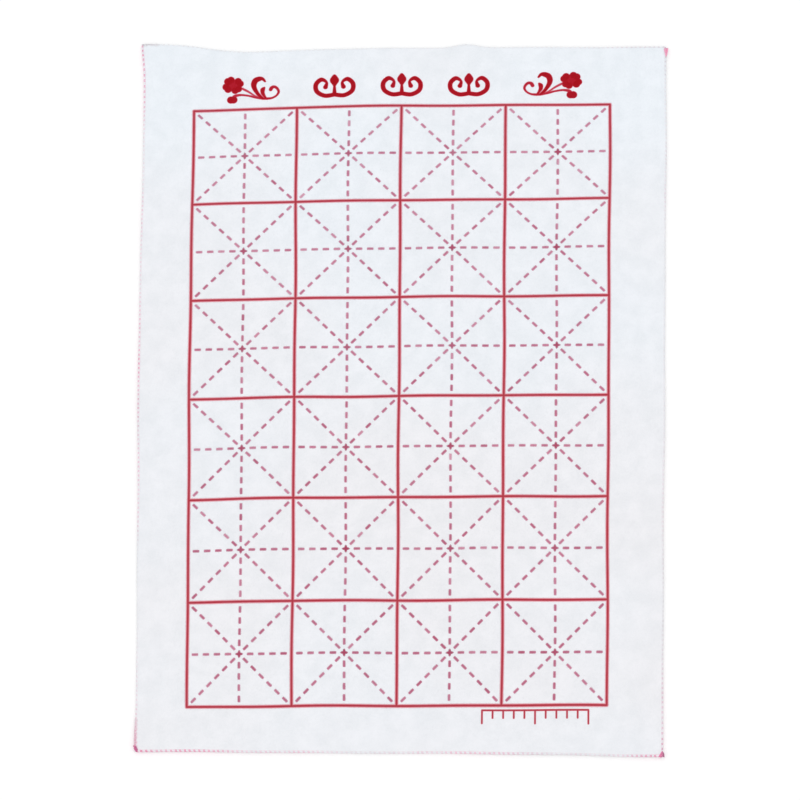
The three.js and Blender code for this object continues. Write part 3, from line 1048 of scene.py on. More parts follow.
@dataclass
class OverlockSeam:
    """The sewing of one edge: slanted pairs of thread wrapped round the rim, a chain and a needle line.

    Dyeing holds rows of place along the edge from 0 to 1, tint and dye, and patches of more and less dye
    follow a wave whose rate drifts. Doubled is the share of the edge, from its start, that was sewn over
    once more where the sewing ended, at the places again between two stitches. A wrap turns round the rim
    by turns in degrees. On each face it lies on a shoulder, short of its reach, where it sinks in. The
    shoulder heights give both in thread radii, the sunk end first.
    """

    edge: Edge
    width: float
    length: float
    rim: Rim
    stitches: int
    dyeing: tuple[Numbers, ...]
    doubled: float
    patch_dye: float = 0.25
    patch_rate: float = 61.0
    patch_drift: float = 2.0
    drift_rate: float = 23.0
    again: Span = (0.83, 1.17)
    sewn: Wrap = Wrap(1.0, 1.25 * MM, 0.55, 1.0)
    sewn_over: Wrap = Wrap(0.0, 2.3 * MM, 1.3, 0.6)
    thread_radius: float = 0.3 * MM
    wrap_turns: Numbers = (72.0, 35.0, 0.0, -35.0, -72.0)
    shoulder: float = 0.85
    shoulder_heights: Span = (-0.5, 0.45)
    slant: float = 0.1
    pair_gap: float = 1.05 * MM
    uneven_pitch: float = 0.04
    uneven_reach: float = 0.07
    chain_radius: float = 0.22 * MM
    chain_weave: float = 0.28 * MM
    chain_inset: float = 0.02 * MM
    chain_sway: float = 0.1 * MM
    chain_dye: float = 0.8
    needle_radius: float = 0.17 * MM
    needle_sink: float = 0.02 * MM
    needle_dip: float = 0.14 * MM
    needle_dye: float = 0.55
    steps_per_stitch: int = 6
    sides: int = 5

    def on_mat(self, along: Array, inset: Array, height: Array) -> Array:
        """Places along this edge as points of the flat mat.

        Args:
            along: Distance from the middle of the edge.
            inset: Distance in from the felt's edge.
            height: Height over the underside.

        Returns:
            Points, with X, Y and height as the last axis.
        """
        (run_x, run_y), (in_x, in_y) = self.edge.value
        inward = inset + self.rim.thread_layer
        x = run_x * along + in_x * (inward - self.width / 2.0)
        y = run_y * along + in_y * (inward - self.length / 2.0)
        return np.stack(np.broadcast_arrays(x, y, height), axis=-1)

    def run_length(self) -> float:
        """The edge's length between the felt's corners."""
        (run_x, _), _ = self.edge.value
        return (self.width if run_x else self.length) - 2.0 * self.rim.thread_layer

    def dyed(self, part: Surface, dye_share: float) -> Surface:
        """Gives each point of a thread its colour, from the rows of dyeing and a wave of patches.

        Args:
            part: The thread on the flat mat.
            dye_share: How much of the dye this thread takes.

        Returns:
            The same thread with the values tint and dye.
        """
        (run_x, run_y), _ = self.edge.value
        place = (run_x * part.points[:, 0] + run_y * part.points[:, 1]) / self.run_length() + 0.5
        stations, tint, dye = np.array(self.dyeing).T
        drift = self.patch_drift * np.sin(self.drift_rate * place)
        patchy = 1.0 + self.patch_dye * np.sin(self.patch_rate * place + drift)
        part.values["tint"] = np.interp(place, stations, tint)
        part.values["dye"] = np.clip(dye_share * patchy * np.interp(place, stations, dye), 0.0, 1.0)
        return part

    def wraps(self, random: np.random.Generator, places: Array, wrap: Wrap) -> Surface:
        """Wrapped pairs: down into the felt, over the face, round the rim and under, slanting along the edge.

        Args:
            random: Source of the small differences between stitches.
            places: Where each pair is along the edge, counted in stitches from its start.
            wrap: How they lie.

        Returns:
            The threads of these stitches.
        """
        pitch = self.run_length() / self.stitches
        count = len(places)
        strays = random.normal(0.0, self.uneven_pitch * pitch, count)
        middle = places * pitch - self.run_length() / 2.0 + strays
        turns = np.radians(np.array(self.wrap_turns))
        proud = wrap.off * self.thread_radius
        round_inset, round_height = self.rim.around(turns, np.full(len(turns), wrap.bite), proud)
        face_inset = np.array([wrap.reach, self.shoulder * wrap.reach])
        face = self.rim.half(face_inset, np.full(len(face_inset), wrap.bite))
        face = face + np.array(self.shoulder_heights) * self.thread_radius
        half = self.rim.thickness / 2.0
        inset = np.concatenate([face_inset, round_inset, face_inset[::-1]])
        height = np.concatenate([half + face, round_height, half - face[::-1]])
        drift = pitch * self.slant * np.linspace(-1.0, 1.0, len(inset))
        stagger = np.array([-0.5, 0.5])[:, None, None] * self.pair_gap
        on_face = inset >= self.shoulder * wrap.reach
        deeper = 1.0 + random.normal(0.0, self.uneven_reach, (1, count, 1)) * on_face
        paths = self.on_mat(middle[None, :, None] + drift + stagger, inset * deeper, height)
        paths = paths.reshape(-1, len(inset), 3)
        (run_x, run_y), _ = self.edge.value
        reference = np.array([run_x, run_y, 0.0])
        made = threads(paths, self.thread_radius, self.thread_radius, reference, self.sides)
        return self.dyed(made, wrap.dye)

    def weave(self) -> tuple[Array, Array]:
        """Shares of the way along the edge, 0 in its middle, and the phase of the stitches at each."""
        share = np.linspace(0.0, 1.0, self.steps_per_stitch * self.stitches + 1)
        return share - 0.5, 2.0 * np.pi * self.stitches * share

    def chain(self) -> Surface:
        """The looper thread at the outermost edge, which weaves up and down from stitch to stitch.

        Returns:
            The thread.
        """
        share, phase = self.weave()
        along = share * (self.run_length() - 2.0 * self.rim.round_over)
        height = self.rim.thickness / 2.0 + self.chain_weave * np.sin(phase)
        inset = self.chain_inset + self.chain_sway * np.cos(phase)
        path = self.on_mat(along, inset, height)[None]
        made = threads(path, self.chain_radius, self.chain_radius, UPWARD, self.sides)
        return self.dyed(made, self.chain_dye)

    def needle_line(self) -> Surface:
        """The needle thread on the face, which dips into the felt at each stitch.

        Returns:
            The thread.
        """
        share, phase = self.weave()
        along = share * (self.run_length() - 2.0 * self.sewn.reach)
        reach = np.array(self.sewn.reach)
        face = self.rim.thickness / 2.0 + self.rim.half(reach, np.array(self.rim.mean_bite))
        height = face - self.needle_sink + self.needle_dip * np.cos(phase)
        path = self.on_mat(along, reach, height)[None]
        made = threads(path, self.needle_radius, self.needle_radius, UPWARD, self.sides)
        return self.dyed(made, self.needle_dye)

    def surface(self, random: np.random.Generator) -> Surface:
        """All the threads of this edge side by side.

        Args:
            random: Source of the small differences between stitches.

        Returns:
            The sewing on the flat mat.
        """
        stitches = np.arange(self.stitches)
        parts = [self.wraps(random, stitches + 0.5, self.sewn), self.chain(), self.needle_line()]
        if self.doubled:
            over = stitches[:int(self.doubled * self.stitches)]
            for place in self.again:
                parts.append(self.wraps(random, over + place, self.sewn_over))
        return Surface.joined(parts)


# Rows of place along the edge, tint from dull to pink, and dye. Seams run from left to right and upwards.
SEAM_DYEING: dict[Edge, tuple[Numbers, ...]] = {
    Edge.TOP: (
        (0.0, 0.1, 0.36), (0.025, 0.15, 0.28), (0.05, 0.0, 0.1), (0.5, 0.0, 0.03), (0.83, 0.3, 0.08),
        (0.89, 0.5, 0.2), (1.0, 0.2, 0.35),
    ),
    Edge.LEFT: (
        (0.0, 0.9, 0.75), (0.035, 0.9, 0.6), (0.06, 0.8, 0.4), (0.075, 0.8, 0.2), (0.14, 0.5, 0.1),
        (0.2, 0.0, 0.06), (0.27, 0.0, 0.16), (0.33, 0.9, 0.36), (0.39, 1.0, 0.5), (0.45, 0.6, 0.36),
        (0.52, 1.0, 0.75), (0.58, 1.0, 0.5), (0.65, 0.9, 0.22), (0.74, 1.0, 0.36), (0.84, 0.8, 0.12),
        (0.9, 1.0, 0.32), (0.96, 0.95, 0.7), (1.0, 0.9, 0.7),
    ),
    Edge.BOTTOM: (
        (0.0, 0.9, 0.9), (0.05, 0.9, 0.85), (0.14, 1.0, 0.6), (0.24, 0.8, 0.34), (0.33, 0.9, 0.4),
        (0.43, 0.35, 0.17), (0.52, 0.8, 0.26), (0.61, 1.0, 0.4), (0.71, 0.85, 0.65), (0.78, 0.5, 0.22),
        (0.92, 0.7, 0.26), (0.97, 0.9, 0.7), (1.0, 0.9, 0.85),
    ),
    Edge.RIGHT: (
        (0.0, 0.7, 0.65), (0.07, 0.7, 0.5), (0.12, 0.4, 0.24), (0.2, 0.0, 0.2), (0.27, 0.4, 0.18),
        (0.36, 0.7, 0.2), (0.44, 0.3, 0.08), (0.7, 0.1, 0.06), (0.78, 0.6, 0.16), (0.95, 0.1, 0.08),
        (0.97, 0.1, 0.3), (1.0, 0.4, 0.35),
    ),
}
SEAM_DOUBLED: dict[Edge, float] = {Edge.TOP: 0.03, Edge.LEFT: 0.045, Edge.BOTTOM: 0.0, Edge.RIGHT: 0.0}


@dataclass
class ThreadEnd:
    """Sewn-off thread at a corner: a bundle of strands that fans from its root to its tip, wound where tied.

    Root and tip are distances in from the corner, in X and Y. Spreads are half the bundle's size there. Tint
    and dye go from their first value at the fan's inner side to their second at the outer side. A strand
    starts a seat, in strand radii, above the felt and arches up over part of a half turn. The winding takes
    up part of the way from root to tip, stands off the bundle by a slack and hardly sinks into the felt.
    """

    corner: Corner
    root: Span
    tip: Span
    root_spread: float
    tip_spread: Span
    strands: int
    rise: float
    tint: Span
    dye: Span
    turns: int = 0
    strand_radius: float = 0.26 * MM
    strand_points: int = 10
    sides: int = 6
    bow: float = 0.35 * MM
    least_level: float = 0.2
    seat: float = 0.6
    arch_start: float = 0.12
    arch_turn: float = 0.8
    points_per_turn: int = 12
    wound_start: float = 0.3
    wound_share: float = 0.35
    wound_level: float = 0.55
    side_slack: float = 0.45 * MM
    top_slack: float = 0.3 * MM
    sink: float = 0.1 * MM

    @staticmethod
    def felt_under(flat: Array, size: Array, rim: Rim) -> Array:
        """Height of the felt under places on the flat mat, whose half sizes are given."""
        return rim.face_at((size - np.abs(flat)).min(axis=-1) - rim.thread_layer)

    def surface(self, width: float, length: float, rim: Rim, random: np.random.Generator) -> Surface:
        """The strands, each on a bowed path over the felt's rim, and the winding round them.

        Args:
            width: The mat's width.
            length: The mat's length.
            rim: The felt's section at its edges.
            random: Source of the differences between strands.

        Returns:
            The bundle on the flat mat.
        """
        sign = np.array(self.corner.value)
        size = np.array([width, length]) / 2.0
        root = sign * (size - np.array(self.root))
        tip = sign * (size - np.array(self.tip))
        count = self.strands
        start = root + random.uniform(-1.0, 1.0, (count, 2)) * self.root_spread
        fan = random.uniform(-1.0, 1.0, (count, 2))
        end = tip + fan * np.array(self.tip_spread)
        bow = random.normal(0.0, self.bow, (count, 1, 2))
        t = np.linspace(0.0, 1.0, self.strand_points)[None, :, None]
        flat = start[:, None] * (1.0 - t) + end[:, None] * t + bow * np.sin(np.pi * t)
        level = random.uniform(self.least_level, 1.0, (count, 1, 1)) * self.rise
        felt = self.felt_under(flat, size, rim)[..., None]
        arch = level * np.sin(np.pi * (self.arch_start + self.arch_turn * t))
        height = felt + self.strand_radius * self.seat + arch
        paths = np.concatenate([flat, height], axis=-1)
        strands = threads(paths, self.strand_radius, self.strand_radius, UPWARD, self.sides)
        parts = [strands]
        if self.turns:
            parts.append(self.winding(root, tip, size, rim))
        ring_points = self.strand_points * self.sides
        for name, sides in (("tint", self.tint), ("dye", self.dye)):
            shade = np.interp(fan[:, 0] * sign[0], [-1.0, 1.0], sides)
            strands.values[name] = np.concatenate([np.repeat(shade, ring_points), shade, shade])
            for wound in parts[1:]:
                wound.values[name] = np.full(len(wound.points), np.mean(sides))
        return Surface.joined(parts)

    def winding(self, root: Array, tip: Array, size: Array, rim: Rim) -> Surface:
        """The thread wound round the bundle: an oval helix about its line.

        Args:
            root: Where the bundle starts.
            tip: Where it ends.
            size: Half the mat's width and length.
            rim: The felt's section at its edges.

        Returns:
            The winding.
        """
        t = np.linspace(0.0, 1.0, self.points_per_turn * self.turns + 1)
        turn = 2.0 * np.pi * self.turns * t
        run = (tip - root) / np.linalg.norm(tip - root)
        side = np.array([-run[1], run[0]])
        middle = root + (tip - root) * (self.wound_start + self.wound_share * t)[:, None]
        flat = middle + side * (np.cos(turn) * (self.root_spread + self.side_slack))[:, None]
        felt = self.felt_under(flat, size, rim)
        swing = (0.5 * self.rise + self.top_slack) * np.sin(turn)
        height = felt + self.wound_level * self.rise + swing
        path = np.column_stack([flat, np.maximum(height, felt - self.sink)])[None]
        return threads(path, self.strand_radius, self.strand_radius, np.append(run, 0.0), self.sides)


THREAD_ENDS = (
    ThreadEnd(
        Corner.TOP_LEFT, root=(0.8 * MM, 0.8 * MM), tip=(2.6 * MM, 1.9 * MM), root_spread=0.4 * MM,
        tip_spread=(0.5 * MM, 0.4 * MM), strands=6, rise=0.5 * MM, tint=(0.0, 0.0), dye=(0.35, 0.35),
    ),
    ThreadEnd(
        Corner.TOP_RIGHT, root=(0.3 * MM, 10.4 * MM), tip=(0.5 * MM, 2.6 * MM), root_spread=0.35 * MM,
        tip_spread=(1.9 * MM, 0.9 * MM), strands=22, rise=0.8 * MM, tint=(0.95, 1.0), dye=(0.65, 0.75),
    ),
    ThreadEnd(
        Corner.BOTTOM_LEFT, root=(0.1 * MM, 5.7 * MM), tip=(2.4 * MM, 0.8 * MM), root_spread=0.9 * MM,
        tip_spread=(1.1 * MM, 0.8 * MM), strands=22, rise=1.0 * MM, tint=(0.5, 0.65), dye=(1.0, 1.0),
        turns=3,
    ),
    ThreadEnd(
        Corner.BOTTOM_RIGHT, root=(0.5 * MM, 4.5 * MM), tip=(1.2 * MM, -0.3 * MM), root_spread=0.3 * MM,
        tip_spread=(3.1 * MM, 0.4 * MM), strands=24, rise=0.8 * MM, tint=(1.0, 0.15), dye=(0.85, 1.0),
        turns=1,
    ),
)


@dataclass
class PracticeGrid:
    """The printed practice squares: one lattice of solid lines, and a star of dashes in each square.

    A line's section holds places across it in line widths, with the soak at each. A dash has rings at shares
    of its length, each with its width and its ink as parts of the most. The centre mark has rings at shares
    of its size, each with its soak. Inked is the ink of marks at the grid's head and at its foot.
    """

    ink: InkLayer
    columns: int = 4
    rows: int = 6
    line_width: float = 2.4 * MM
    line_section: Numbers = (-0.9, -0.58, -0.37, -0.21, 0.0, 0.21, 0.37, 0.58, 0.9)
    line_soak: Numbers = (0.0, 0.3, 0.66, 0.95, 1.0, 0.95, 0.66, 0.3, 0.0)
    net_step: float = 1.5 * MM
    ragged: float = 0.06 * MM
    dash_width: float = 3.1 * MM
    dash_shoulder: float = 0.62
    dash_length: float = 6.6 * MM
    dash_pitch: float = 10.52 * MM
    dash_shares: Numbers = (0.0, 0.12, 0.5, 0.88, 1.0)
    dash_widths: Numbers = (0.7, 0.95, 1.0, 0.95, 0.7)
    dash_inks: Numbers = (0.3, 0.95, 1.0, 0.95, 0.3)
    straight_gap: float = 4.15 * MM
    straight_dashes: int = 4
    diagonal_gap: float = 5.5 * MM
    diagonal_dashes: int = 6
    arms: int = 8
    centre_size: float = 4.1 * MM
    centre_swell: float = 0.25
    centre_points: int = 16
    centre_shares: Numbers = (1.0, 0.7, 0.35)
    centre_soaks: Numbers = (0.0, 0.8, 1.0)
    centre_ink: float = 1.35
    inked: Span = (0.95, 1.14)
    uneven: float = 0.09

    def ruled(self, low: float, high: float, lines: int) -> tuple[Array, Array, Array]:
        """Places of the net across a set of evenly spaced lines: a section on each, and fine steps between.

        Args:
            low: The first line's outer rim.
            high: The last line's outer rim.
            lines: Number of lines.

        Returns:
            The places, the soak that a line gives each one, 0 off the lines and at their rims and most in
            the middle, and the most soak that crossing lines may have there, which falls to 0 at the two
            outer rims.
        """
        section = np.array(self.line_section) * self.line_width
        middles = np.linspace(low + self.line_width / 2.0, high - self.line_width / 2.0, lines)
        between = middles[1] - middles[0] - 2.0 * section[-1]
        steps = int(round(between / self.net_step))
        gaps = section[-1] + between * np.arange(1, steps) / steps
        places = np.concatenate([middles[:, None] + section, middles[:, None] + gaps], axis=1).ravel()
        soak = np.tile(np.concatenate([self.line_soak, np.zeros(steps - 1)]), lines)
        count = len(places) - (steps - 1)
        half = len(section) // 2
        most = np.ones(count)
        most[:half] = self.line_soak[:half]
        most[-half:] = self.line_soak[-half:]
        return places[:count], soak[:count], most

    def lattice(self, random: np.random.Generator) -> Surface:
        """All the solid lines as one film: a net whose cells carry ink in a row's or a column's line.

        Args:
            random: Source of the ragged rims.

        Returns:
            The film of ink.
        """
        low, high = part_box("ink_grid_lines")
        x, soak_x, most_x = self.ruled(low.x, high.x, self.columns + 1)
        y, soak_y, most_y = self.ruled(low.y, high.y, self.rows + 1)
        in_column = np.maximum(soak_x[:-1], soak_x[1:]) > 0.0
        in_row = np.maximum(soak_y[:-1], soak_y[1:]) > 0.0
        kept = in_row[:, None] | in_column[None, :]
        soak = np.maximum(np.minimum(soak_y[:, None], most_x), np.minimum(soak_x, most_y[:, None]))
        net_x, net_y = self.rounded(*np.meshgrid(x, y), low, high)
        rim = soak == 0.0
        net_x = net_x + rim * random.normal(0.0, self.ragged, net_x.shape)
        net_y = net_y + rim * random.normal(0.0, self.ragged, net_y.shape)
        return self.ink.film(net_x, net_y, kept, soak)

    def rounded(self, x: Array, y: Array, low: Vector, high: Vector) -> tuple[Array, Array]:
        """Rounds the lattice's four outer corners: a square round the lines' crossing is drawn into a circle.

        Args:
            x: X of the net's points.
            y: Y of the net's points.
            low: The lattice's lowest corner.
            high: The lattice's highest corner.

        Returns:
            X and Y of the net's points, of which only those beyond both outer lines' middles have moved.
        """
        above_nothing = 1e-9
        middle = np.array((low + high) / 2.0)
        reach = np.array((high - low) / 2.0) - self.line_width / 2.0
        beyond_x = np.maximum(np.abs(x - middle[0]) - reach[0], 0.0)
        beyond_y = np.maximum(np.abs(y - middle[1]) - reach[1], 0.0)
        distance = np.maximum(np.hypot(beyond_x, beyond_y), above_nothing)
        drawn = 1.0 - np.maximum(beyond_x, beyond_y) / distance
        corner = (beyond_x > 0.0) & (beyond_y > 0.0)
        x = x - corner * drawn * beyond_x * np.sign(x - middle[0])
        return x, y - corner * drawn * beyond_y * np.sign(y - middle[1])

    def strengths(self, random: np.random.Generator, places: Array) -> Array:
        """How much ink marks carry: more from the grid's head to its foot, and a little uneven.

        Args:
            random: Source of the unevenness.
            places: Where the marks are, in X and Y.

        Returns:
            The strength of each mark, about 1.
        """
        low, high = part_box("ink_grid_lines")
        towards_foot = np.interp(-places[:, 1], [-high.y, -low.y], self.inked)
        return towards_foot * random.normal(1.0, self.uneven, len(places))

    def dashes(self, starts: Array, way: Array, strengths: Array) -> Surface:
        """Printed dashes: flat lens-shaped strips with blunt ends, where the ink thins out too.

        Args:
            starts: Where each dash starts, in X and Y.
            way: The direction that the dashes run.
            strengths: How much ink each dash carries.

        Returns:
            The dashes, thinnest at their rims.
        """
        widths = np.array(self.dash_widths)
        flat = starts[:, None] + way * (np.array(self.dash_shares) * self.dash_length)[:, None]
        height = np.full((*flat.shape[:2], 1), self.ink.rest)
        paths = np.concatenate([flat, height], axis=-1)
        around = np.tile([0.0, self.dash_shoulder, 1.0, self.dash_shoulder], 2)
        made = threads(paths, widths * self.dash_width / 2.0, self.ink.rise * widths, UPWARD, len(around))
        soak = strengths[:, None, None] * np.outer(self.dash_inks, around)
        made.values = {"soak": np.concatenate([soak.ravel(), np.zeros(2 * len(starts))])}
        made.creased = True
        return made

    def star(self, node: str, random: np.random.Generator) -> Surface:
        """The guide star of one square: dashes on its two middle lines and two diagonals, and a centre mark.

        Args:
            node: The CAD node of the star.
            random: Source of the ink's unevenness.

        Returns:
            All its marks.
        """
        star_low, star_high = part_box(node)
        middle = np.array((star_low + star_high) / 2.0)[:2]
        low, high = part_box("ink_grid_lines")
        half = (high.x - low.x - self.line_width) / self.columns / 2.0
        marks = []
        for arm in range(self.arms):
            angle = arm * np.pi / 4.0
            way = np.array([np.cos(angle), np.sin(angle)])
            straight = arm % 2 == 0
            reach = half if straight else half * np.sqrt(2.0)
            gap = self.straight_gap if straight else self.diagonal_gap
            count = self.straight_dashes if straight else self.diagonal_dashes
            outer = reach - gap - self.dash_pitch * np.arange(count)
            starts = middle + (outer - self.dash_length)[:, None] * way
            marks.append(self.dashes(starts, way, self.strengths(random, starts)))
        strength = self.centre_ink * self.strengths(random, middle[None])[0]
        return Surface.joined([*marks, self.centre_mark(middle, strength)])

    def centre_mark(self, middle: Array, strength: float) -> Surface:
        """The star's centre: a four-pointed dab, whose radius swells four times round.

        Args:
            middle: The middle of the square.
            strength: How much ink it carries.

        Returns:
            The dab, as a closed lens.
        """
        rest, rise, points = self.ink.rest, self.ink.rise, self.centre_points
        turn = 2.0 * np.pi * np.arange(points) / points
        share = np.array(self.centre_shares)[:, None]
        radius = self.centre_size * (1.0 - self.centre_swell + self.centre_swell * np.cos(4.0 * turn))
        x = middle[0] + share * radius * np.cos(turn)
        y = middle[1] + share * radius * np.sin(turn)
        soak = np.broadcast_to(np.array(self.centre_soaks)[:, None], x.shape)
        face = np.stack([x, y, rest + rise * soak], axis=-1).reshape(-1, 3)
        poles = np.array([[*middle, rest + rise], [*middle, rest - self.ink.depth]])
        taken = strength * np.append(soak.ravel(), [1.0, 1.0])
        index = np.arange(x.size).reshape(x.shape)
        ahead = np.roll(index, -1, axis=1)
        quads = np.stack([index[:-1], ahead[:-1], ahead[1:], index[1:]], axis=-1).reshape(-1, 4)
        top = np.stack([index[-1], ahead[-1], np.full(points, x.size)], axis=-1)
        back = np.stack([ahead[0], index[0], np.full(points, x.size + 1)], axis=-1)
        triangles = np.concatenate([top, back])
        return Surface(np.concatenate([face, poles]), quads, triangles, {"soak": taken}, True)


@dataclass
class Heading:
    """The printed marks above and below the grid: cloud scrolls, blossom sprays and a plain measuring scale.

    Lengths are in millimetres and turns in degrees. A spray is drawn about its own middle.
    """

    ink: InkLayer
    grain: float = 0.42
    bold: float = 4.2
    fine: float = 2.1
    flower_at: Span = (-16.2, 5.3)
    flower_half_width: float = 10.5
    flower_half_height: float = 9.0
    flower_eye: float = 6.4
    eye_ink: float = 0.86
    petals: int = 4
    first_petal: float = 32.0
    lobe_turn: float = 15.0
    lobe_radius: float = 3.5
    bud_at: Span = (-16.9, -9.9)
    bud_radius: float = 3.7
    bud_stretch: float = 2.5
    right_stretch: float = 1.016
    scale_grain: float = 0.34
    scale_steps: int = 10
    scale_step: float = 10.0
    scale_line: float = 1.6
    long_tick: float = 12.0
    short_tick: float = 7.0
    long_every: int = 5

    def cloud(self, node: str) -> Surface:
        """A cloud scroll: two volutes from a common foot, and a bud between them.

        Args:
            node: The CAD node that it stands for.

        Returns:
            The film of ink.
        """
        bold, fine = self.bold, self.fine
        volute = [
            (0, -9, bold), (9, -10, bold), (16.5, -5.5, bold), (17.5, 2, bold), (12.5, 7, bold),
            (7.5, 4, fine), (8.5, -1, bold),
        ]
        shape = InkShape()
        shape.stroke(volute)
        shape.stroke(volute, -1.0)
        shape.stroke([(0, -9, bold), (0, 0, fine), (0, 6, 2 * bold), (0, 11, fine)])
        return shape.film(np.array(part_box(node)[0]), self.grain, self.ink)

    def spray(self, node: str, stretch: float) -> Surface:
        """A blossom spray: flower and bud on thin stems, a crescent leaf, a small leaf and a curling tendril.

        Args:
            node: The CAD node that it stands for.
            stretch: What X is multiplied by, below 0 for a mirrored spray.

        Returns:
            The film of ink, placed by the box's side where the tendril is.
        """
        flower_x, flower_y = self.flower_at
        bud_x, bud_y = self.bud_at
        shape = InkShape()
        shape.dab(stretch * flower_x, flower_y, self.flower_eye, self.eye_ink)
        for petal in range(self.petals):
            for lobe in (-self.lobe_turn, self.lobe_turn):
                angle = np.radians(self.first_petal + 360.0 * petal / self.petals + lobe)
                x = flower_x + (self.flower_half_width - self.lobe_radius) * np.cos(angle)
                y = flower_y + (self.flower_half_height - self.lobe_radius) * np.sin(angle)
                shape.dab(stretch * x, y, self.lobe_radius)
        for end in (-self.bud_stretch / 2.0, self.bud_stretch / 2.0):
            shape.dab(stretch * (bud_x + end), bud_y, self.bud_radius)
        bud_stem = [
            (-16.6, -8.4, 3.2), (-14.2, -5.9, 3.2), (-8.6, -4.9, 2.1), (-1, -6.1, 1.8), (5.2, -7.9, 2.2),
            (12.6, -9.5, 2.6),
        ]
        flower_stem = [
            (-9.3, 2.9, 1.8), (-5.2, 0.6, 2.2), (-0.8, -2.1, 1.9), (2.9, -4.9, 1.6), (6.7, -7.5, 1.8),
            (12.6, -9.5, 2),
        ]
        crescent = [
            (14.6, 8.6, 1.6), (12, 11.4, 3), (8.7, 11.4, 4.8), (5.3, 9.7, 5.6), (3.8, 6, 5.3),
            (4.3, 2.2, 4.4), (6.3, -2, 3.6), (9, -5.9, 3), (12.6, -9.5, 2.2),
        ]
        leaf = [(14, 2.1, 1.4), (12.4, -0.1, 4.3), (12.3, -3.1, 3.7), (13.7, -6.4, 2.5), (15.6, -9.4, 1.8)]
        curl = [
            (12.6, -9.5, 2.4), (16.9, -9.7, 2.4), (21.6, -9.1, 1.9), (25.6, -6.7, 1.8), (27.6, -3.3, 2.2),
            (26.8, -0.1, 2.4), (24.6, 2.2, 2.6), (22.4, 2.5, 2.9), (20.9, 1.5, 3.4), (20, -0.2, 3.4),
        ]
        inked = ((bud_stem, 0.75), (flower_stem, 0.6), (crescent, 1.0), (leaf, 0.9), (curl, 0.8))
        for stroke, strength in inked:
            shape.stroke(stroke, stretch, strength)
        low, high = (np.array(corner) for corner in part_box(node))
        least, most = shape.extent()
        if stretch > 0.0:
            low[0] = high[0] - (most[0] - least[0]) * MM
        return shape.film(low, self.grain, self.ink)

    def scale(self, node: str) -> Surface:
        """The measuring scale: a base line with ticks hanging from it, every few of them long.

        Args:
            node: The CAD node that it stands for.

        Returns:
            The film of ink.
        """
        line = self.scale_line
        length = self.scale_steps * self.scale_step
        shape = InkShape()
        shape.stroke([(0, line / 2, line), (length / 2, line / 2, line), (length, line / 2, line)])
        for tick in range(self.scale_steps + 1):
            depth = self.long_tick if tick % self.long_every == 0 else self.short_tick
            x = tick * self.scale_step
            shape.stroke([(x, line / 2, line), (x, -depth / 2, line), (x, line / 2 - depth, line)])
        return shape.film(np.array(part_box(node)[0]), self.scale_grain, self.ink)


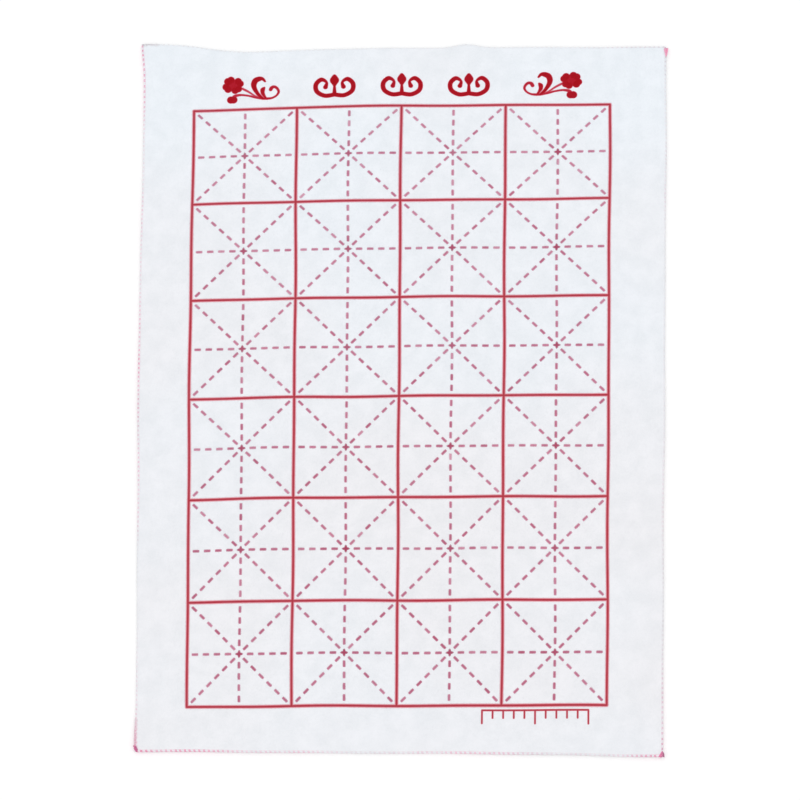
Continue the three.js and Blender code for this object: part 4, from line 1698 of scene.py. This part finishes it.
@dataclass
class Studio:
    """The pale floor, soft light and the camera at the photograph's angle. Angles are in degrees."""

    floor_size: float = 14.0
    floor_gap: float = 0.38 * MM
    floor_shade: float = 0.9
    floor_glow: float = 0.14
    ambient: float = 0.9
    sun_strength: float = 0.32
    sun_angle: float = 70.0
    sun_from: tuple[float, float, float] = (-0.08, -0.3, 1.0)
    tilt: float = 17.55
    azimuth: float = 5.57
    roll: float = 0.447
    distance: float = 5.7
    lens: float = 271.24
    sensor: float = 36.0
    target: tuple[float, float, float] = (-1.95 * MM, -4.82 * MM, 0.0)

    def seen_directly(self, graph: Graph) -> bpy.types.NodeSocket:
        """1 for rays from the camera, a gloss or a clear body, and 0 for rays that carry light.

        Args:
            graph: The graph of a material or a world.

        Returns:
            The output with that number.
        """
        path = graph.add("ShaderNodeLightPath", {})
        gloss = graph.sum_of("MAXIMUM", path.outputs["Is Glossy Ray"], path.outputs["Is Transmission Ray"])
        return graph.sum_of("MAXIMUM", path.outputs["Is Camera Ray"], gloss)

    def floor(self) -> bpy.types.Object:
        """A wide pale floor that shows white and keeps the mat's shadow.

        Returns:
            The floor, as a piece of the stage.
        """
        half = self.floor_size / 2.0
        mesh = bpy.data.meshes.new("floor")
        corners = [(-half, -half), (half, -half), (half, half), (-half, half)]
        mesh.from_pydata([(x, y, -self.floor_gap) for x, y in corners], [], [(0, 1, 2, 3)])
        made, graph, shader = new_material("pale_floor")
        graph.feed(shader, {
            "Base Color": (*[self.floor_shade] * 3, 1.0),
            "Roughness": 1.0,
            "Specular IOR Level": 0.0,
            "Emission Color": WHITE,
            "Emission Strength": graph.sum_of("MULTIPLY", self.seen_directly(graph), self.floor_glow),
        })
        mesh.materials.append(made)
        floor = bpy.data.objects.new("floor", mesh)
        bpy.context.scene.collection.objects.link(floor)
        return floor

    def light(self) -> None:
        """An even white surround, and one broad soft light from above and a little from the foot."""
        world = bpy.data.worlds.new("studio")
        world.use_nodes = True
        graph = Graph(world.node_tree)
        around = graph.add("ShaderNodeBackground", {"Color": WHITE, "Strength": self.ambient}).outputs[0]
        shown = graph.add("ShaderNodeBackground", {"Color": WHITE, "Strength": 1.0}).outputs[0]
        mixed = graph.add("ShaderNodeMixShader", {0: self.seen_directly(graph), 1: around, 2: shown})
        graph.add("ShaderNodeOutputWorld", {"Surface": mixed.outputs[0]})
        bpy.context.scene.world = world
        lamp = bpy.data.lights.new("soft_light", "SUN")
        lamp.energy = self.sun_strength
        lamp.angle = np.radians(self.sun_angle)
        sun = bpy.data.objects.new("soft_light", lamp)
        sun.rotation_mode = "QUATERNION"
        sun.rotation_quaternion = Vector(self.sun_from).to_track_quat("Z", "Y")
        bpy.context.scene.collection.objects.link(sun)

    def camera(self) -> None:
        """The camera: tilted from straight above to the foot, a little to the right and a touch rolled."""
        tilt, azimuth, roll = np.radians([self.tilt, self.azimuth, self.roll])
        back = np.array([np.sin(azimuth) * np.sin(tilt), -np.cos(azimuth) * np.sin(tilt), np.cos(tilt)])
        level = unit(np.cross([0.0, 1.0, 0.0], back))
        right = np.cos(roll) * level + np.sin(roll) * np.cross(back, level)
        turned = np.column_stack([right, np.cross(back, right), back])
        lens = bpy.data.cameras.new("camera")
        lens.lens = self.lens
        lens.sensor_width = self.sensor
        camera = bpy.data.objects.new("camera", lens)
        place = np.array(self.target) + self.distance * back
        camera.matrix_world = Matrix.Translation(place.tolist()) @ Matrix(turned.tolist()).to_4x4()
        bpy.context.scene.collection.objects.link(camera)
        bpy.context.scene.camera = camera
        bpy.context.scene.view_settings.view_transform = "Standard"


@dataclass
class FeltMat:
    """The whole mat: felt, seams, thread ends and print, each piece in the place of its CAD node."""

    stitch_pitch: float = 4.5 * MM
    seed: int = 7

    def __post_init__(self) -> None:
        """Takes the mat's size from the frame and makes the finishes."""
        low, high = CAD_BOX
        _, felt_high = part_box("felt_sheet")
        self.width, self.length = high.x - low.x, high.y - low.y
        face = felt_high.z
        self.rim = Rim(face)
        self.ink = InkLayer(face)
        self.lie = FeltLie(self.width / 2.0, self.length / 2.0)
        self.random = np.random.default_rng(self.seed)
        self.across = int(round(self.width / self.stitch_pitch))
        self.along = int(round(self.length / self.stitch_pitch))
        fibre, twist = FeltFibre().group(), thread_twist_group()
        tied = ThreadFinish("end_thread", dull=linear(132, 84, 116), pink=linear(250, 96, 168), twist=7000.0)
        self.felt = FeltFinish().material(fibre)
        self.bold_ink = InkFinish("bold_red_ink", linear(172, 15, 29), 0.95).material(fibre)
        self.line_ink = InkFinish("line_red_ink", linear(205, 64, 79), 0.7).material(fibre)
        self.dash_ink = InkFinish("dash_red_ink", linear(212, 128, 156), 0.75).material(fibre)
        self.seam_thread = ThreadFinish("seam_thread").material(twist)
        self.end_thread = tied.material(twist)

    def put(self, surface: Surface, material: bpy.types.Material, node: str) -> bpy.types.Object:
        """Lays one piece in the place of one CAD node, under that node's name with visual_ before it.

        Args:
            surface: The piece on the flat mat.
            material: The finish.
            node: The CAD node that the piece stands for.

        Returns:
            The new object, at the origin, with its place in its mesh.
        """
        name = f"visual_{node}"
        mesh = surface.mesh(name, self.lie, material)
        piece = bpy.data.objects.new(name, mesh)
        bpy.context.scene.collection.objects.link(piece)
        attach(piece, "root")
        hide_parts(node)
        LOG.info("%s: %d points, %d faces", name, len(mesh.vertices), len(mesh.polygons))
        return piece

    def sew(self) -> list[bpy.types.Object]:
        """The four seams and the four thread ends.

        Returns:
            Their pieces.
        """
        pieces = []
        for edge, dyeing in SEAM_DYEING.items():
            stitches = self.across if edge in (Edge.TOP, Edge.BOTTOM) else self.along
            seam = OverlockSeam(edge, self.width, self.length, self.rim, stitches, dyeing, SEAM_DOUBLED[edge])
            node = f"overlock_seam_{edge.name.lower()}"
            pieces.append(self.put(seam.surface(self.random), self.seam_thread, node))
        for end in THREAD_ENDS:
            surface = end.surface(self.width, self.length, self.rim, self.random)
            node = f"thread_end_{end.corner.name.lower()}"
            pieces.append(self.put(surface, self.end_thread, node))
        return pieces

    def print_face(self) -> list[bpy.types.Object]:
        """The grid, its guide stars, the heading and the scale.

        Returns:
            Their pieces.
        """
        grid = PracticeGrid(self.ink)
        heading = Heading(self.ink)
        marks = {"ink_grid_lines": (grid.lattice(self.random), self.line_ink)}
        for row in range(1, grid.rows + 1):
            for column in range(1, grid.columns + 1):
                node = f"guide_star_row{row}_column{column}"
                marks[node] = (grid.star(node, self.random), self.dash_ink)
        for number in (1, 2, 3):
            node = f"heading_cloud_{number}"
            marks[node] = (heading.cloud(node), self.bold_ink)
        for side, stretch in (("left", 1.0), ("right", -heading.right_stretch)):
            node = f"blossom_spray_{side}"
            marks[node] = (heading.spray(node, stretch), self.bold_ink)
        marks["measuring_scale"] = (heading.scale("measuring_scale"), self.line_ink)
        return [self.put(surface, ink, node) for node, (surface, ink) in marks.items()]

    def build(self, floor: bpy.types.Object) -> None:
        """Args:
            floor: What the mat lies on. Not used.
        """
        sheet = FeltSheet(self.width, self.length, self.rim, self.across, self.along)
        felt = self.put(sheet.surface(), self.felt, "felt_sheet")
        sewn = self.sew()
        printed = self.print_face()


def main() -> None:
    """Builds the studio and the mat."""
    logging.basicConfig(level=logging.INFO, format="%(message)s")
    studio = Studio()
    studio.camera()
    studio.light()
    FeltMat().build(studio.floor())


if __name__ == "__main__":
    main()
